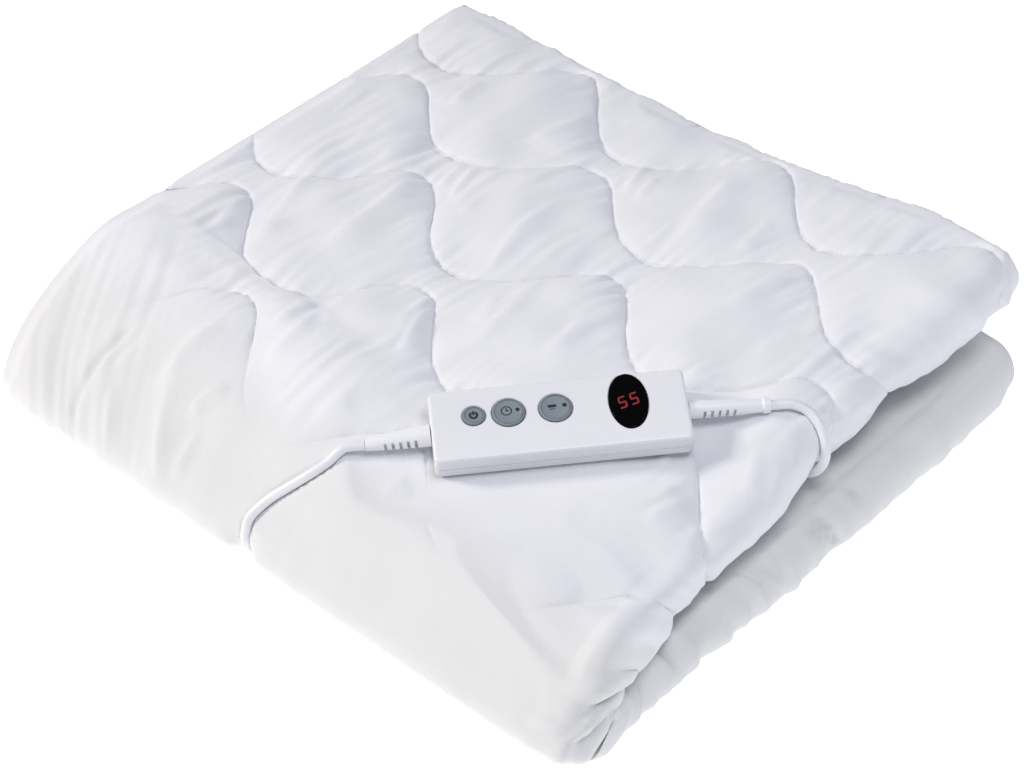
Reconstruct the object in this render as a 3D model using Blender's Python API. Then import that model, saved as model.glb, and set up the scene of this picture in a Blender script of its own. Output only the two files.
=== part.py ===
"""Electric heated blanket, folded in eight, with its hand controller and its two leads.

The quilted blanket is one closed solid: four layers folded back and forth across its width, and
that packet folded once more along the front. Metres, +Z up, the front fold along X at low Y.
"""

import math
from dataclasses import astuple, dataclass

import bmesh
import bpy
import numpy as np
from mathutils import Matrix, Vector

MM = 0.001

# Plan of the folded blanket, at the outermost points of its rounded edges.
LEFT_X = -250.1 * MM
FRONT_TABLE_X = np.array([-250.0, -20.0, 240.0]) * MM
FRONT_TABLE_Y = np.array([-224.0, -228.5, -217.0]) * MM
BACK_TABLE_X = np.array([-245.0, 0.0, 225.0, 250.0]) * MM
UPPER_BACK_Y = np.array([223.5, 222.0, 214.0, 208.0]) * MM
LOWER_BACK_Y = np.array([216.0, 208.0, 194.0, 188.0]) * MM
RIGHT_TABLE_Y = np.array([-200.0, -169.0, -124.0, -46.0, 21.0, 91.0, 172.0, 221.0]) * MM
UPPER_RIGHT_X = np.array([240.0, 234.0, 226.0, 219.0, 216.0, 216.0, 224.0, 222.0]) * MM
LOWER_RIGHT_X = np.array([242.0, 243.5, 244.5, 246.5, 247.5, 248.5, 249.5, 247.0]) * MM

# Section across the front fold, from the underside (station 0) round the nose (0.5) to the upper
# face (1): distance behind the front edge and height, of the outermost and the innermost face.
FOLD_SECTION = np.array([
    # station, outer distance, outer height, inner distance, inner height
    (0.38, 130.0, -2.4, 136.0, 43.0),
    (0.43, 60.0, -2.4, 76.0, 38.0),
    (0.46, 27.0, -1.4, 57.0, 31.0),
    (0.48, 8.0, 6.5, 51.0, 28.0),
    (0.50, 0.0, 17.5, 48.5, 31.5),
    (0.52, 6.0, 27.0, 51.5, 35.5),
    (0.55, 29.0, 45.0, 61.0, 39.5),
    (0.58, 62.0, 67.0, 76.0, 43.0),
    (0.61, 97.0, 83.0, 103.0, 45.6),
    (0.66, 140.0, 84.5, 143.0, 46.2),
])
FLAT_HEIGHT = 84.5 * MM
# Swells and dips of the upper face, and how far the slit between the packets opens at its edge.
SWELLS = np.array([
    # middle X, middle Y, radius X, radius Y, height
    (190.0, 221.0, 95.0, 125.0, 15.0),
    (-45.0, 221.0, 75.0, 100.0, -5.0),
    (-240.0, 215.0, 60.0, 60.0, 2.5),
    (182.0, 12.0, 42.0, 42.0, 3.5),
]) * MM
SLIT_OPENING = np.array([235.0, 200.0, 60.0, 150.0, 3.0]) * MM
CORNER_DIRECTION = (0.743, -0.669)
CORNER_SLOPE = 0.14
CORNER_SLOPE_START = 95.0 * MM
SLIT_SHARE = 0.47
NOSE_STATION, UPPER_STATION = 0.5, 0.62
INSET_STATIONS = 0.06
SETBACK_STATIONS = (0.47, 0.56)
PACKED_REACH = (30.0 * MM, 110.0 * MM)

SHEET_SPAN = 230.0 * MM - LEFT_X

# Stack of the four layers of a packet, from its inner face (0) to its outer face (1).
LAYER_A, LAYER_B, LAYER_C, LAYER_D = 0.875, 0.125, 0.37, 0.605
WIDE_TURN = 16.0 * MM
TIGHT_TURN = 5.4 * MM
HEM_SETBACK_A = 4.0 * MM
HEM_SETBACK_D = 13.0 * MM

# Quilting: wavy seams across the packet, each half a wave on from the last, measured over the
# outer face from its back edge.
SEAM_PLACES = np.array([43.0, 121.0, 206.0, 293.0, 392.0, 480.0, 568.0, 656.0, 744.0, 832.0]) * MM
SEAM_WAVES = np.array([31.0, 26.0, 31.0, 31.0, 31.0, 16.0, 16.0, 30.0, 30.0, 30.0]) * MM
SEAM_CELLS = (2, 4, 4, 4, 5, 8, 6, 3, 3, 3, 2)
WAVE_PERIOD = 174.0 * MM
WAVE_PEAK_X = 52.0 * MM
CROWN = 4.5 * MM
WIDE_CELL = 80.0 * MM
SEAM_OUTSIDE = 0.4 * MM
SEAM_INSIDE = 1.6 * MM
HIDDEN_HALF = 3.5 * MM
TURN_THINNING = 0.5
HEM_HALF = 2.4 * MM
HEM_END_HALF = 1.2 * MM
LAYER_GAP = 1.4 * MM
COLUMNS_A, COLUMNS_HIDDEN = 22, 7
FRONT_FULLNESS = 0.37
FULLNESS_X = (-140.0 * MM, 40.0 * MM)
FULLNESS_POWER = 0.8
SEAM_SHARPNESS = 0.12
CROWN_POWER, CELL_POWER, LEAST_CELL = 0.7, 0.4, 0.35
LEFT_CORNER_INSET = 9.0 * MM
CORNER_GATHER, CORNER_GATHER_PITCH, CORNER_GATHER_REACH = 2.2 * MM, 26.0 * MM, 80.0 * MM
TURN_STEPS_WIDE, TURN_STEPS_TIGHT = 6, 4

# Groove that the mains lead lies in, straight under the blanket from its front fold to its back.
GROOVE_X = -18.0 * MM
GROOVE_COLUMNS = np.array([-8.0, -4.2, 4.2, 8.0]) * MM
GROOVE_HALF = 5.0 * MM
GROOVE_KEEP_OFF = 14.0 * MM
GROOVE_CLEARANCE = 0.6 * MM
GROOVE_CLOTH = 1.4 * MM
GROOVE_TOP_SHARE = 0.62

# Leads, round and flexible.
LEAD_RADIUS = 3.0 * MM
LEAD_IN_LINE = np.array([0.0, 6.0, 12.0]) * MM
LEAD_SPACING = 8.0 * MM
LEAD_REST = 3.05 * MM
FOLD_BEND = 22.0 * MM
FOLD_BEND_Y = -201.0 * MM
FOLD_BEND_ANGLES = np.radians((-38.0, -14.0, 10.0, 34.0, 58.0, 80.0))

# Hand controller, lying on the upper face and tipped towards the front corner.
CONTROLLER_SIZE = (148.0 * MM, 49.0 * MM, 16.0 * MM)
CONTROLLER_TOP = (101.0 * MM, -83.0 * MM, 96.5 * MM)
CONTROLLER_HEADING = math.radians(47.0)
CONTROLLER_PITCH = math.radians(2.2)
CONTROLLER_TILT = math.radians(13.5)
SEAT_GAP = 2.2 * MM
SEAT_SPREAD = 55.0 * MM
SEAT_LIMITS = (-9.0 * MM, 3.0 * MM)
SEAT_PAST_END = 36.0 * MM
SEAT_RISE = 14.0 * MM
SEAT_DROP = 3.0 * MM
CASE_CORNER = 4.0 * MM
CASE_EDGE = 1.6 * MM
AXIS_DROP = CONTROLLER_SIZE[2] / 2

# Buttons and display: place along and across the controller from its middle.
BUTTONS = {
    # name: along, across, radius
    "button_power": (-49.0 * MM, 5.0 * MM, 6.6 * MM),
    "button_timer": (-29.0 * MM, 5.0 * MM, 9.6 * MM),
    "button_heat": (-2.0 * MM, 5.0 * MM, 9.6 * MM),
}
BUTTON_GAP = 0.35 * MM
BUTTON_PROUD = 0.9 * MM
BUTTON_DEPTH = 2.0 * MM
BUTTON_TRAVEL = 0.8 * MM
DISPLAY_PLACE = (40.0 * MM, 5.0 * MM)
DISPLAY_HALF = (11.3 * MM, 19.0 * MM)
DISPLAY_DEPTH = 1.6 * MM
DISPLAY_PROUD = 0.3 * MM
PIECE_GAP = 0.3 * MM

# Strain reliefs: distance from the housing and radius, along each one.
RIBS = 5
RELIEF_SIDES = 16
RELIEFS = {
    "left": ((0.0, 6.4), (6.0, 6.2), (28.0, 4.6), (37.0, 3.7)),
    "right": ((0.0, 5.4), (8.0, 5.2), (24.0, 4.9), (42.0, 3.9), (43.0, 4.7), (47.0, 4.5)),
}
RELIEF_SETBACK = 0.6 * MM
RIB_START, RIB_PITCH, RIB_DEPTH = 7.0 * MM, 4.4 * MM, 0.9 * MM
RELIEF_DROOP = {"left": math.radians(4.5), "right": math.radians(4.0)}

# Route of the lead into the blanket: over the upper packet's right edge and into the slit.
LEAD_ROUTE = np.array([
    (198.5, 21.8, 87.0),
    (205.8, 22.0, 83.2),
    (212.0, 20.2, 78.8),
    (216.9, 17.2, 71.9),
    (218.4, 14.8, 63.5),
    (214.8, 13.5, 55.0),
    (206.5, 14.5, 48.0),
    (197.0, 18.0, 44.2),
    (186.0, 22.0, 43.6),
]) * MM
# Route of the mains lead: down the front slope, round the fold, under the blanket to its back.
MAINS_ROUTE = np.array([
    (10.5, -181.0, 72.9),
    (5.0, -190.0, 66.9),
    (-3.3, -199.0, 58.5),
    (-12.2, -207.6, 49.1),
]) * MM
MAINS_UNDER_Y = (-196.0 * MM, 196.0 * MM)
HANK_BEND = 24.0 * MM
HANK_BEND_ANGLES = np.radians((0.0, 25.0, 50.0, 72.0, 90.0))
POINT_SPACING = 11.0 * MM

# The rest of the mains lead, tied in a hank behind the blanket, and its plug. The lead comes in
# along the hank's back run at its left end, and leaves along the front run, on top.
HANK_LENGTH, HANK_WIDTH, HANK_HEIGHT = 120.0 * MM, 54.0 * MM, 18.0 * MM
HANK_RISE = 1.2 * MM
HANK_CORNER, HANK_EDGE = 25.5 * MM, 4.0 * MM
HANK_LEFT_X, HANK_Y = 15.0 * MM, 237.5 * MM
HANK_ENTRY_X = 23.8 * MM
HANK_RUN = HANK_WIDTH / 2 - LEAD_RADIUS
TIE_WIDTH, TIE_THICKNESS = 9.0 * MM, 0.9 * MM
PLUG_AXIS = 6.8 * MM
PLUG_STUB_X, PLUG_Y = -62.0 * MM, 237.0 * MM
STUB_POINTS, STUB_STRAIGHT = 9, 0.13
PLUG_RELIEF = ((0.0, 3.9), (1.5, 4.2), (22.0, 6.2))
PLUG_BODY = (34.0 * MM, 35.0 * MM, 2 * PLUG_AXIS)
PLUG_CORNER, PLUG_EDGE = 8.0 * MM, 3.0 * MM
PIN_TIP = (1.5 * MM, 1.1 * MM)
PIN_LENGTH, PIN_RADIUS, PIN_SPACING = 19.0 * MM, 2.0 * MM, 18.6 * MM

WHITE_PLASTIC = ("white_plastic", (0.86, 0.86, 0.88), 0.35)
WHITE_LEAD = ("white_lead", (0.87, 0.87, 0.88), 0.45)


def hermite(x, xs, ys):
    """Smooth curve through a short table; its slopes are those between each point's neighbours."""
    xs, ys = np.asarray(xs, float), np.asarray(ys, float)
    x = np.clip(x, xs[0], xs[-1])
    slopes = np.gradient(ys, xs)
    place = np.clip(np.searchsorted(xs, x, side="right") - 1, 0, len(xs) - 2)
    width = xs[place + 1] - xs[place]
    t = (x - xs[place]) / width
    return (
        ys[place] * (2 * t**3 - 3 * t**2 + 1)
        + slopes[place] * width * (t**3 - 2 * t**2 + t)
        + ys[place + 1] * (3 * t**2 - 2 * t**3)
        + slopes[place + 1] * width * (t**3 - t**2)
    )


def smooth_step(value, start, end):
    t = np.clip((value - start) / (end - start), 0.0, 1.0)
    return t * t * (3.0 - 2.0 * t)


def swell(x, y, row):
    """Height at a point of one soft swell: its middle, its two radii and its height."""
    middle_x, middle_y, radius_x, radius_y, height = row
    off = ((x - middle_x) / radius_x) ** 2 + ((y - middle_y) / radius_y) ** 2
    return height * np.exp(-off)


def controller_matrix():
    """Place of the controller: its X along it, its Z out of its upper face, origin on that face."""
    turn = Matrix.Rotation(CONTROLLER_HEADING, 4, "Z")
    pitch = Matrix.Rotation(-CONTROLLER_PITCH, 4, "Y")
    tilt = Matrix.Rotation(CONTROLLER_TILT, 4, "X")
    return Matrix.Translation(CONTROLLER_TOP) @ turn @ pitch @ tilt


def controller_seat(x, y):
    """Height of the controller's underside over a point, and how much the cloth follows it there."""
    place = controller_matrix()
    normal = np.array(place.to_3x3() @ Vector((0, 0, 1)))
    centre = np.array(place.translation) - normal * (CONTROLLER_SIZE[2] + SEAT_GAP)
    height = centre[2] - (normal[0] * (x - centre[0]) + normal[1] * (y - centre[1])) / normal[2]
    cos, sin = math.cos(CONTROLLER_HEADING), math.sin(CONTROLLER_HEADING)
    along = (x - centre[0]) * cos + (y - centre[1]) * sin + SEAT_PAST_END / 2
    across = (y - centre[1]) * cos - (x - centre[0]) * sin
    outside = np.hypot(
        np.maximum(np.abs(along) - (CONTROLLER_SIZE[0] + SEAT_PAST_END) / 2, 0.0),
        np.maximum(np.abs(across) - CONTROLLER_SIZE[1] / 2, 0.0),
    )
    return height, 1.0 - smooth_step(outside, SEAT_GAP, SEAT_SPREAD)


def top_height(x, y):
    """Height of the upper face: even in the middle, full at the right back, low at the front corner."""
    height = FLAT_HEIGHT + sum(swell(x, y, row) for row in SWELLS)
    towards_corner = CORNER_DIRECTION[0] * x + CORNER_DIRECTION[1] * y
    height = height - CORNER_SLOPE * np.maximum(towards_corner - CORNER_SLOPE_START, 0.0)
    seat, follow = controller_seat(x, y)
    return height + np.clip(seat - height, *SEAT_LIMITS) * follow


def fold_section(station, x):
    """Outer and inner face of the packet at a station: distances behind the front, and heights."""
    stations = FOLD_SECTION[:, 0]
    columns = [hermite(station, stations, FOLD_SECTION[:, n] * MM) for n in range(1, 5)]
    front = hermite(x, FRONT_TABLE_X, FRONT_TABLE_Y)
    lower = np.clip((stations[0] - station) / stations[0], 0.0, 1.0)
    upper = np.clip((station - stations[-1]) / (1.0 - stations[-1]), 0.0, 1.0)
    lower_depth = hermite(x, BACK_TABLE_X, LOWER_BACK_Y) - front
    upper_depth = hermite(x, BACK_TABLE_X, UPPER_BACK_Y) - front
    for n in (0, 2):
        columns[n] = columns[n] + (lower_depth - columns[n]) * lower
        columns[n] = columns[n] + (upper_depth - columns[n]) * upper
    slope = np.clip((station - NOSE_STATION) / (stations[-1] - NOSE_STATION), 0.0, 1.0)
    fullness = FRONT_FULLNESS * smooth_step(x, *FULLNESS_X)
    columns[0] = columns[0] * (1.0 - fullness * np.sin(math.pi * slope) ** FULLNESS_POWER)
    return columns


def packet_point(station, stack, x):
    """Point of the folded packet: across the fold, through its stack and along the front."""
    outer_far, outer_high, inner_far, inner_high = fold_section(station, x)
    far = inner_far + (outer_far - inner_far) * stack
    y = hermite(x, FRONT_TABLE_X, FRONT_TABLE_Y) + far
    lift = top_height(x, y) - FLAT_HEIGHT
    upper = smooth_step(station, NOSE_STATION, UPPER_STATION)
    packed = smooth_step(far, *PACKED_REACH)
    opening = swell(x, y, SLIT_OPENING)
    outer_high = outer_high + lift * upper * packed
    inner_high = inner_high + lift * packed * SLIT_SHARE + opening * upper
    z = inner_high + (outer_high - inner_high) * stack
    return np.stack(np.broadcast_arrays(x, y, z), -1)


def right_edge(station, x):
    """Outermost X of the packet's right edge: the upper packet stands back from the lower one."""
    outer_far = fold_section(station, x)[0]
    y = hermite(x, FRONT_TABLE_X, FRONT_TABLE_Y) + outer_far
    lower = hermite(y, RIGHT_TABLE_Y, LOWER_RIGHT_X)
    upper = hermite(y, RIGHT_TABLE_Y, UPPER_RIGHT_X)
    return lower + (upper - lower) * smooth_step(station, *SETBACK_STATIONS)


def quilt_rows():
    """Row stations over the outer face: for each row its seam interval, place in it and length."""
    reach = np.linspace(1.0, 0.0, 601)
    far, high, _, _ = fold_section(reach, np.zeros_like(reach))
    over = np.concatenate([[0.0], np.cumsum(np.hypot(np.diff(far), np.diff(high)))])
    rows = [(0, 0.0)]
    for interval, cells in enumerate(SEAM_CELLS):
        rows += [(interval, (n + 1) / cells) for n in range(cells)]
    return rows, over, reach


def seam_guides(x, total):
    """Distance of every seam from the back edge at x, with the two straight edges at the ends."""
    guides = [np.zeros_like(x)]
    for n, (place, wave) in enumerate(zip(SEAM_PLACES, SEAM_WAVES)):
        turn = 2 * math.pi * (x - WAVE_PEAK_X) / WAVE_PERIOD + math.pi * n
        guides.append(place - wave * (np.cos(turn) + SEAM_SHARPNESS * np.cos(2 * turn)))
    return guides + [np.full_like(x, total)]


@dataclass(frozen=True)
class Column:
    """One line of points along the sheet: where it lies in its run and in the packet's stack."""

    share: float
    bulge: float
    stack: float
    setback: float
    quilting: float = 0.0
    past_edge: float = 0.0
    groove: float = math.nan


def run_columns(shares, stack, setback, quilting=0.0):
    return [Column(share, 0.0, stack, setback, quilting) for share in shares]


def turn_columns(from_stack, to_stack, radius, right, steps, quilted=False):
    """Half a turn past the right or left end of two runs, without its first column."""
    middle, half = (from_stack + to_stack) / 2, (from_stack - to_stack) / 2
    columns = []
    for n in range(1, steps + 1):
        angle = math.pi * n / steps
        fade = float(1.0 - smooth_step(n, steps - 3, steps)) if quilted else 0.0
        columns.append(Column(
            share=1.0 if right else 0.0,
            bulge=radius * math.sin(angle) * (1 if right else -1),
            stack=middle + half * math.cos(angle),
            setback=TIGHT_TURN + HIDDEN_HALF,
            quilting=fade,
            past_edge=radius * angle if right else 0.0,
        ))
    return columns


def outer_columns():
    """Columns of the outermost layer: even, but close together over the lead's groove."""
    shares = np.linspace(0.0, 1.0, COLUMNS_A + 1)
    places = LEFT_X + shares * SHEET_SPAN
    keep = np.abs(places - GROOVE_X) > GROOVE_KEEP_OFF
    columns = run_columns(shares[keep], LAYER_A, HEM_SETBACK_A, 1.0)
    for offset in GROOVE_COLUMNS:
        share = (GROOVE_X + offset - LEFT_X) / SHEET_SPAN
        columns.append(Column(share, 0.0, LAYER_A, HEM_SETBACK_A, 1.0, groove=offset))
    return sorted(columns, key=lambda column: column.share)


def sheet_columns():
    """All columns, from the outermost layer's hem through its turns to the last layer's hem."""
    rightwards = np.linspace(0.0, 1.0, COLUMNS_HIDDEN + 1)[1:]
    leftwards = 1.0 - rightwards
    inner_setback = TIGHT_TURN + HIDDEN_HALF
    columns = outer_columns()
    columns += turn_columns(LAYER_A, LAYER_B, WIDE_TURN, True, TURN_STEPS_WIDE, quilted=True)
    columns += run_columns(leftwards, LAYER_B, inner_setback)
    columns += turn_columns(LAYER_B, LAYER_C, TIGHT_TURN, False, TURN_STEPS_TIGHT)
    columns += run_columns(rightwards, LAYER_C, inner_setback)
    columns += turn_columns(LAYER_C, LAYER_D, TIGHT_TURN, True, TURN_STEPS_TIGHT)
    return columns + run_columns(leftwards, LAYER_D, HEM_SETBACK_D)


def pressed_in(points, over_lead, depth):
    """Points over the mains lead moved clear of it: inside its bend, and above it farther back."""
    middle = np.array([FOLD_BEND_Y, LEAD_REST + FOLD_BEND])
    offset = points[..., 1:] - middle
    reach = np.linalg.norm(offset, axis=-1, keepdims=True)
    bent = middle + offset * np.minimum((FOLD_BEND - depth) / reach, 1.0)
    ahead = (offset[..., 0] < 0.0) & (offset[..., 1] < FOLD_BEND * GROOVE_TOP_SHARE)
    pressed = points.copy()
    pressed[..., 1:] = np.where((over_lead & ahead)[..., None], bent, points[..., 1:])
    behind = over_lead & (offset[..., 0] >= 0.0) & (offset[..., 1] < 0.0)
    low = np.maximum(points[..., 2], LEAD_REST + depth)
    pressed[..., 2] = np.where(behind, low, pressed[..., 2])
    return pressed


def settled(outer, inner, upper):
    """The upper face of the packet lowered, both its faces alike, to clear the controller on it."""
    seat, follow = controller_seat(outer[..., 0], outer[..., 1])
    high = outer[..., 2] - seat - SEAT_GAP / 2 - SEAT_RISE * (1.0 - follow)
    drop = np.where(upper, np.clip(high, 0.0, SEAT_DROP), 0.0)
    for face in (outer, inner):
        face[..., 2] -= drop


def sheet_faces():
    """Outer and inner face of the sheet, as two grids of points: rows across, columns along."""
    rows, over, reach = quilt_rows()
    columns = sheet_columns()
    share, bulge, stack, setback, quilting, past, groove = (
        np.array(field) for field in zip(*(astuple(column) for column in columns))
    )
    grooved = ~np.isnan(groove)
    guess = LEFT_X + share * SHEET_SPAN
    straight = np.array([0.0, *SEAM_PLACES, over[-1]])[:, None]
    guides = straight + (np.array(seam_guides(guess + past, over[-1])) - straight) * quilting
    nose = np.interp(NOSE_STATION, reach[::-1], over[::-1])
    size = (len(rows), len(columns))
    stations, outward, inward = np.empty(size), np.empty(size), np.empty(size)
    middle = np.empty((*size, 3))
    for r, (interval, part) in enumerate(rows):
        distance = guides[interval] + (guides[interval + 1] - guides[interval]) * part
        station = np.interp(distance, over, reach)
        edge = right_edge(station, guess) - WIDE_TURN - CROWN
        from_nose = np.abs(station - NOSE_STATION)
        inset = LEFT_CORNER_INSET * (1.0 - smooth_step(from_nose, 0.0, INSET_STATIONS))
        left = LEFT_X + setback + inset
        x = np.where(grooved, GROOVE_X + groove, left + share * (edge - left))
        fold = distance - nose
        gather = CORNER_GATHER * np.exp(-((fold / CORNER_GATHER_REACH) ** 2))
        gather = gather * np.sin(2 * math.pi * fold / CORNER_GATHER_PITCH)
        middle[r] = packet_point(station, stack, x)
        middle[r, :, 0] += bulge + gather * np.clip(bulge / WIDE_TURN, 0.0, 1.0)
        limit = (layer_spacing(station, stack, x) - LAYER_GAP) / 2
        width = guides[interval + 1] - guides[interval]
        full_cell = np.clip(width / WIDE_CELL, LEAST_CELL, 1.0) ** CELL_POWER
        crown = math.sin(math.pi * part) ** CROWN_POWER * full_cell
        full = np.minimum(CROWN, limit)
        plain = np.minimum(HIDDEN_HALF, limit) * np.where(bulge == 0.0, 1.0, TURN_THINNING)
        outward[r] = plain + (SEAM_OUTSIDE + (full - SEAM_OUTSIDE) * crown - plain) * quilting
        inward[r] = plain + (SEAM_INSIDE + (full - SEAM_INSIDE) * crown - plain) * quilting
        stations[r] = station
    for half in (outward, inward):
        half[[1, -2]] = np.minimum(half[[1, -2]], HEM_HALF)
        half[[0, -1]] = np.minimum(half[[0, -1]], HEM_END_HALF)
        half[:, [0, -1]] = np.minimum(half[:, [0, -1]], HEM_END_HALF)
    normal = grid_normals(middle)
    outer = middle + normal * outward[..., None]
    inner = middle - normal * inward[..., None]
    settled(outer, inner, (stations > NOSE_STATION) & (stack == LAYER_A))
    outer[..., 2] = np.maximum(outer[..., 2], 0.0)
    inner[..., 2] = np.maximum(inner[..., 2], HEM_END_HALF)
    over_lead = np.broadcast_to(np.abs(groove) < GROOVE_HALF, size)
    outer = pressed_in(outer, over_lead, LEAD_RADIUS + GROOVE_CLEARANCE)
    inner = pressed_in(inner, over_lead, LEAD_RADIUS + GROOVE_CLEARANCE + GROOVE_CLOTH)
    return outer, inner


def layer_spacing(station, stack, x):
    """Distance from one layer to the next, square to them."""
    step = 1e-3
    across = packet_point(station + step, stack, x) - packet_point(station - step, stack, x)
    along = packet_point(station, stack, x + step) - packet_point(station, stack, x - step)
    through = packet_point(station, stack + step, x) - packet_point(station, stack - step, x)
    normal = np.cross(across, along)
    normal /= np.linalg.norm(normal, axis=-1, keepdims=True)
    return np.abs((through * normal).sum(-1)) / (2 * step) * (LAYER_D - LAYER_C)


def grid_normals(points):
    down = np.gradient(points, axis=0)
    along = np.gradient(points, axis=1)
    normal = np.cross(down, along)
    return normal / np.linalg.norm(normal, axis=-1, keepdims=True)


def closed_sheet(name, upper, lower):
    """One closed mesh from two grids of points, joined round their rims."""
    rows, columns, _ = upper.shape
    mesh = bmesh.new()
    grids = []
    for grid in (upper, lower):
        grids.append([[mesh.verts.new(point) for point in row] for row in grid])
    top, bottom = grids
    for r in range(rows - 1):
        for c in range(columns - 1):
            mesh.faces.new((top[r][c], top[r + 1][c], top[r + 1][c + 1], top[r][c + 1]))
            mesh.faces.new((bottom[r][c], bottom[r][c + 1], bottom[r + 1][c + 1], bottom[r + 1][c]))
    rim = [(0, c) for c in range(columns)]
    rim += [(r, columns - 1) for r in range(1, rows)]
    rim += [(rows - 1, c) for c in range(columns - 2, -1, -1)]
    rim += [(r, 0) for r in range(rows - 2, 0, -1)]
    for (r0, c0), (r1, c1) in zip(rim, rim[1:] + rim[:1]):
        mesh.faces.new((top[r0][c0], top[r1][c1], bottom[r1][c1], bottom[r0][c0]))
    bmesh.ops.recalc_face_normals(mesh, faces=mesh.faces)
    return mesh_object(name, mesh)


def mesh_object(name, mesh):
    data = bpy.data.meshes.new(name)
    mesh.to_mesh(data)
    mesh.free()
    made = bpy.data.objects.new(name, data)
    bpy.context.scene.collection.objects.link(made)
    return made


def plain_material(name, colour, roughness, metallic=0.0):
    material = bpy.data.materials.new(name)
    material.use_nodes = True
    shader = material.node_tree.nodes["Principled BSDF"]
    shader.inputs["Base Color"].default_value = (*colour, 1.0)
    shader.inputs["Roughness"].default_value = roughness
    shader.inputs["Metallic"].default_value = metallic
    return material


def make_blanket():
    blanket = closed_sheet("blanket", *sheet_faces())
    for face in blanket.data.polygons:
        face.use_smooth = True
    blanket.data.materials.append(plain_material("quilted_cotton", (0.86, 0.86, 0.90), 0.9))
    return blanket


def rounded_block(name, size, corner, edge, segments):
    """Block with its middle at the origin: corners rounded along Z first, then all other edges."""
    mesh = bmesh.new()
    bmesh.ops.create_cube(mesh, size=1.0)
    bmesh.ops.scale(mesh, vec=size, verts=mesh.verts)
    if corner:
        upright = [e for e in mesh.edges if abs(e.verts[0].co.z - e.verts[1].co.z) > size[2] / 2]
        bmesh.ops.bevel(mesh, geom=upright, offset=corner, segments=4, profile=0.5, affect="EDGES")
    rims = [e for e in mesh.edges if abs(e.verts[0].co.z - e.verts[1].co.z) < 1e-6
            and any(abs(f.normal.z) > 0.9 for f in e.link_faces)]
    bmesh.ops.bevel(mesh, geom=rims, offset=edge, segments=segments, profile=0.5, affect="EDGES")
    bmesh.ops.recalc_face_normals(mesh, faces=mesh.faces)
    return mesh_object(name, mesh)


def oval_disc(name, half_x, half_y, low, high, edge=0.0, sides=40):
    """Oval disc from one height to another, its upper rim rounded."""
    mesh = bmesh.new()
    bmesh.ops.create_cone(
        mesh, cap_ends=True, segments=sides, radius1=1.0, radius2=1.0, depth=high - low
    )
    bmesh.ops.scale(mesh, vec=(half_x, half_y, 1.0), verts=mesh.verts)
    bmesh.ops.translate(mesh, vec=(0.0, 0.0, (low + high) / 2), verts=mesh.verts)
    if edge:
        rim = [e for e in mesh.edges if all(v.co.z > high - 1e-6 for v in e.verts)]
        bmesh.ops.bevel(mesh, geom=rim, offset=edge, segments=3, profile=0.5, affect="EDGES")
    return mesh_object(name, mesh)


def turned(name, profile, sides):
    """Closed round piece about X from (distance, radius) pairs, its ends flat."""
    mesh = bmesh.new()
    ends = [(profile[0][0], 0.0), *profile, (profile[-1][0], 0.0)]
    points = [mesh.verts.new((along, 0.0, radius)) for along, radius in ends]
    chain = [mesh.edges.new(pair) for pair in zip(points, points[1:])]
    bmesh.ops.spin(
        mesh, geom=points + chain, cent=(0, 0, 0), axis=(1, 0, 0), angle=2 * math.pi,
        steps=sides, use_merge=True,
    )
    bmesh.ops.remove_doubles(mesh, verts=mesh.verts, dist=1e-6)
    bmesh.ops.recalc_face_normals(mesh, faces=mesh.faces)
    made = mesh_object(name, mesh)
    for face in made.data.polygons:
        face.use_smooth = True
    return made


def ribbed(profile):
    """Profile in metres of a tapered relief, with grooves between its ribs near the housing."""
    along = np.array([point[0] for point in profile]) * MM
    radius = np.array([point[1] for point in profile]) * MM
    rows = {float(a): float(r) for a, r in zip(along, radius)}
    for n in range(RIBS):
        start = RIB_START + n * RIB_PITCH
        for place, cut in ((0.0, 0.0), (0.15, 1.0), (0.45, 1.0), (0.6, 0.0)):
            at = start + place * RIB_PITCH
            rows[at] = float(np.interp(at, along, radius)) - cut * RIB_DEPTH
    return sorted(rows.items())


def smooth_route(points, spacing):
    """Points at an even spacing along a smooth curve through the route's points."""
    points = np.array(points, float)
    before = 2 * points[0] - points[1]
    after = 2 * points[-1] - points[-2]
    padded = np.vstack([before, points, after])
    dense = []
    for p0, p1, p2, p3 in zip(padded, padded[1:], padded[2:], padded[3:]):
        knots = np.cumsum([0.0] + [math.sqrt(np.linalg.norm(b - a)) for a, b in
                                   ((p0, p1), (p1, p2), (p2, p3))])
        for t in np.linspace(knots[1], knots[2], 24, endpoint=False):
            a = [q0 + (q1 - q0) * (t - k0) / (k1 - k0) for q0, q1, k0, k1 in
                 zip((p0, p1, p2), (p1, p2, p3), knots, knots[1:])]
            b = [a[n] + (a[n + 1] - a[n]) * (t - knots[n]) / (knots[n + 2] - knots[n])
                 for n in (0, 1)]
            dense.append(b[0] + (b[1] - b[0]) * (t - knots[1]) / (knots[2] - knots[1]))
    dense = np.array([*dense, points[-1]])
    gone = np.concatenate([[0.0], np.cumsum(np.linalg.norm(np.diff(dense, axis=0), axis=1))])
    places = np.linspace(0.0, gone[-1], max(2, round(gone[-1] / spacing)) + 1)
    return np.stack([np.interp(places, gone, dense[:, n]) for n in range(3)], axis=-1)


def lead_tube(name, points):
    curve = bpy.data.curves.new(name, "CURVE")
    curve.dimensions = "3D"
    curve.bevel_depth = LEAD_RADIUS
    curve.bevel_resolution = 3
    curve.use_fill_caps = True
    spline = curve.splines.new("POLY")
    spline.points.add(len(points) - 1)
    for point, place in zip(spline.points, points):
        point.co = (*place, 1.0)
    made = bpy.data.objects.new(name, curve)
    bpy.context.scene.collection.objects.link(made)
    curve.materials.append(shared_material(*WHITE_LEAD))
    return made


def shared_material(name, colour, roughness, metallic=0.0):
    return bpy.data.materials.get(name) or plain_material(name, colour, roughness, metallic)


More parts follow.
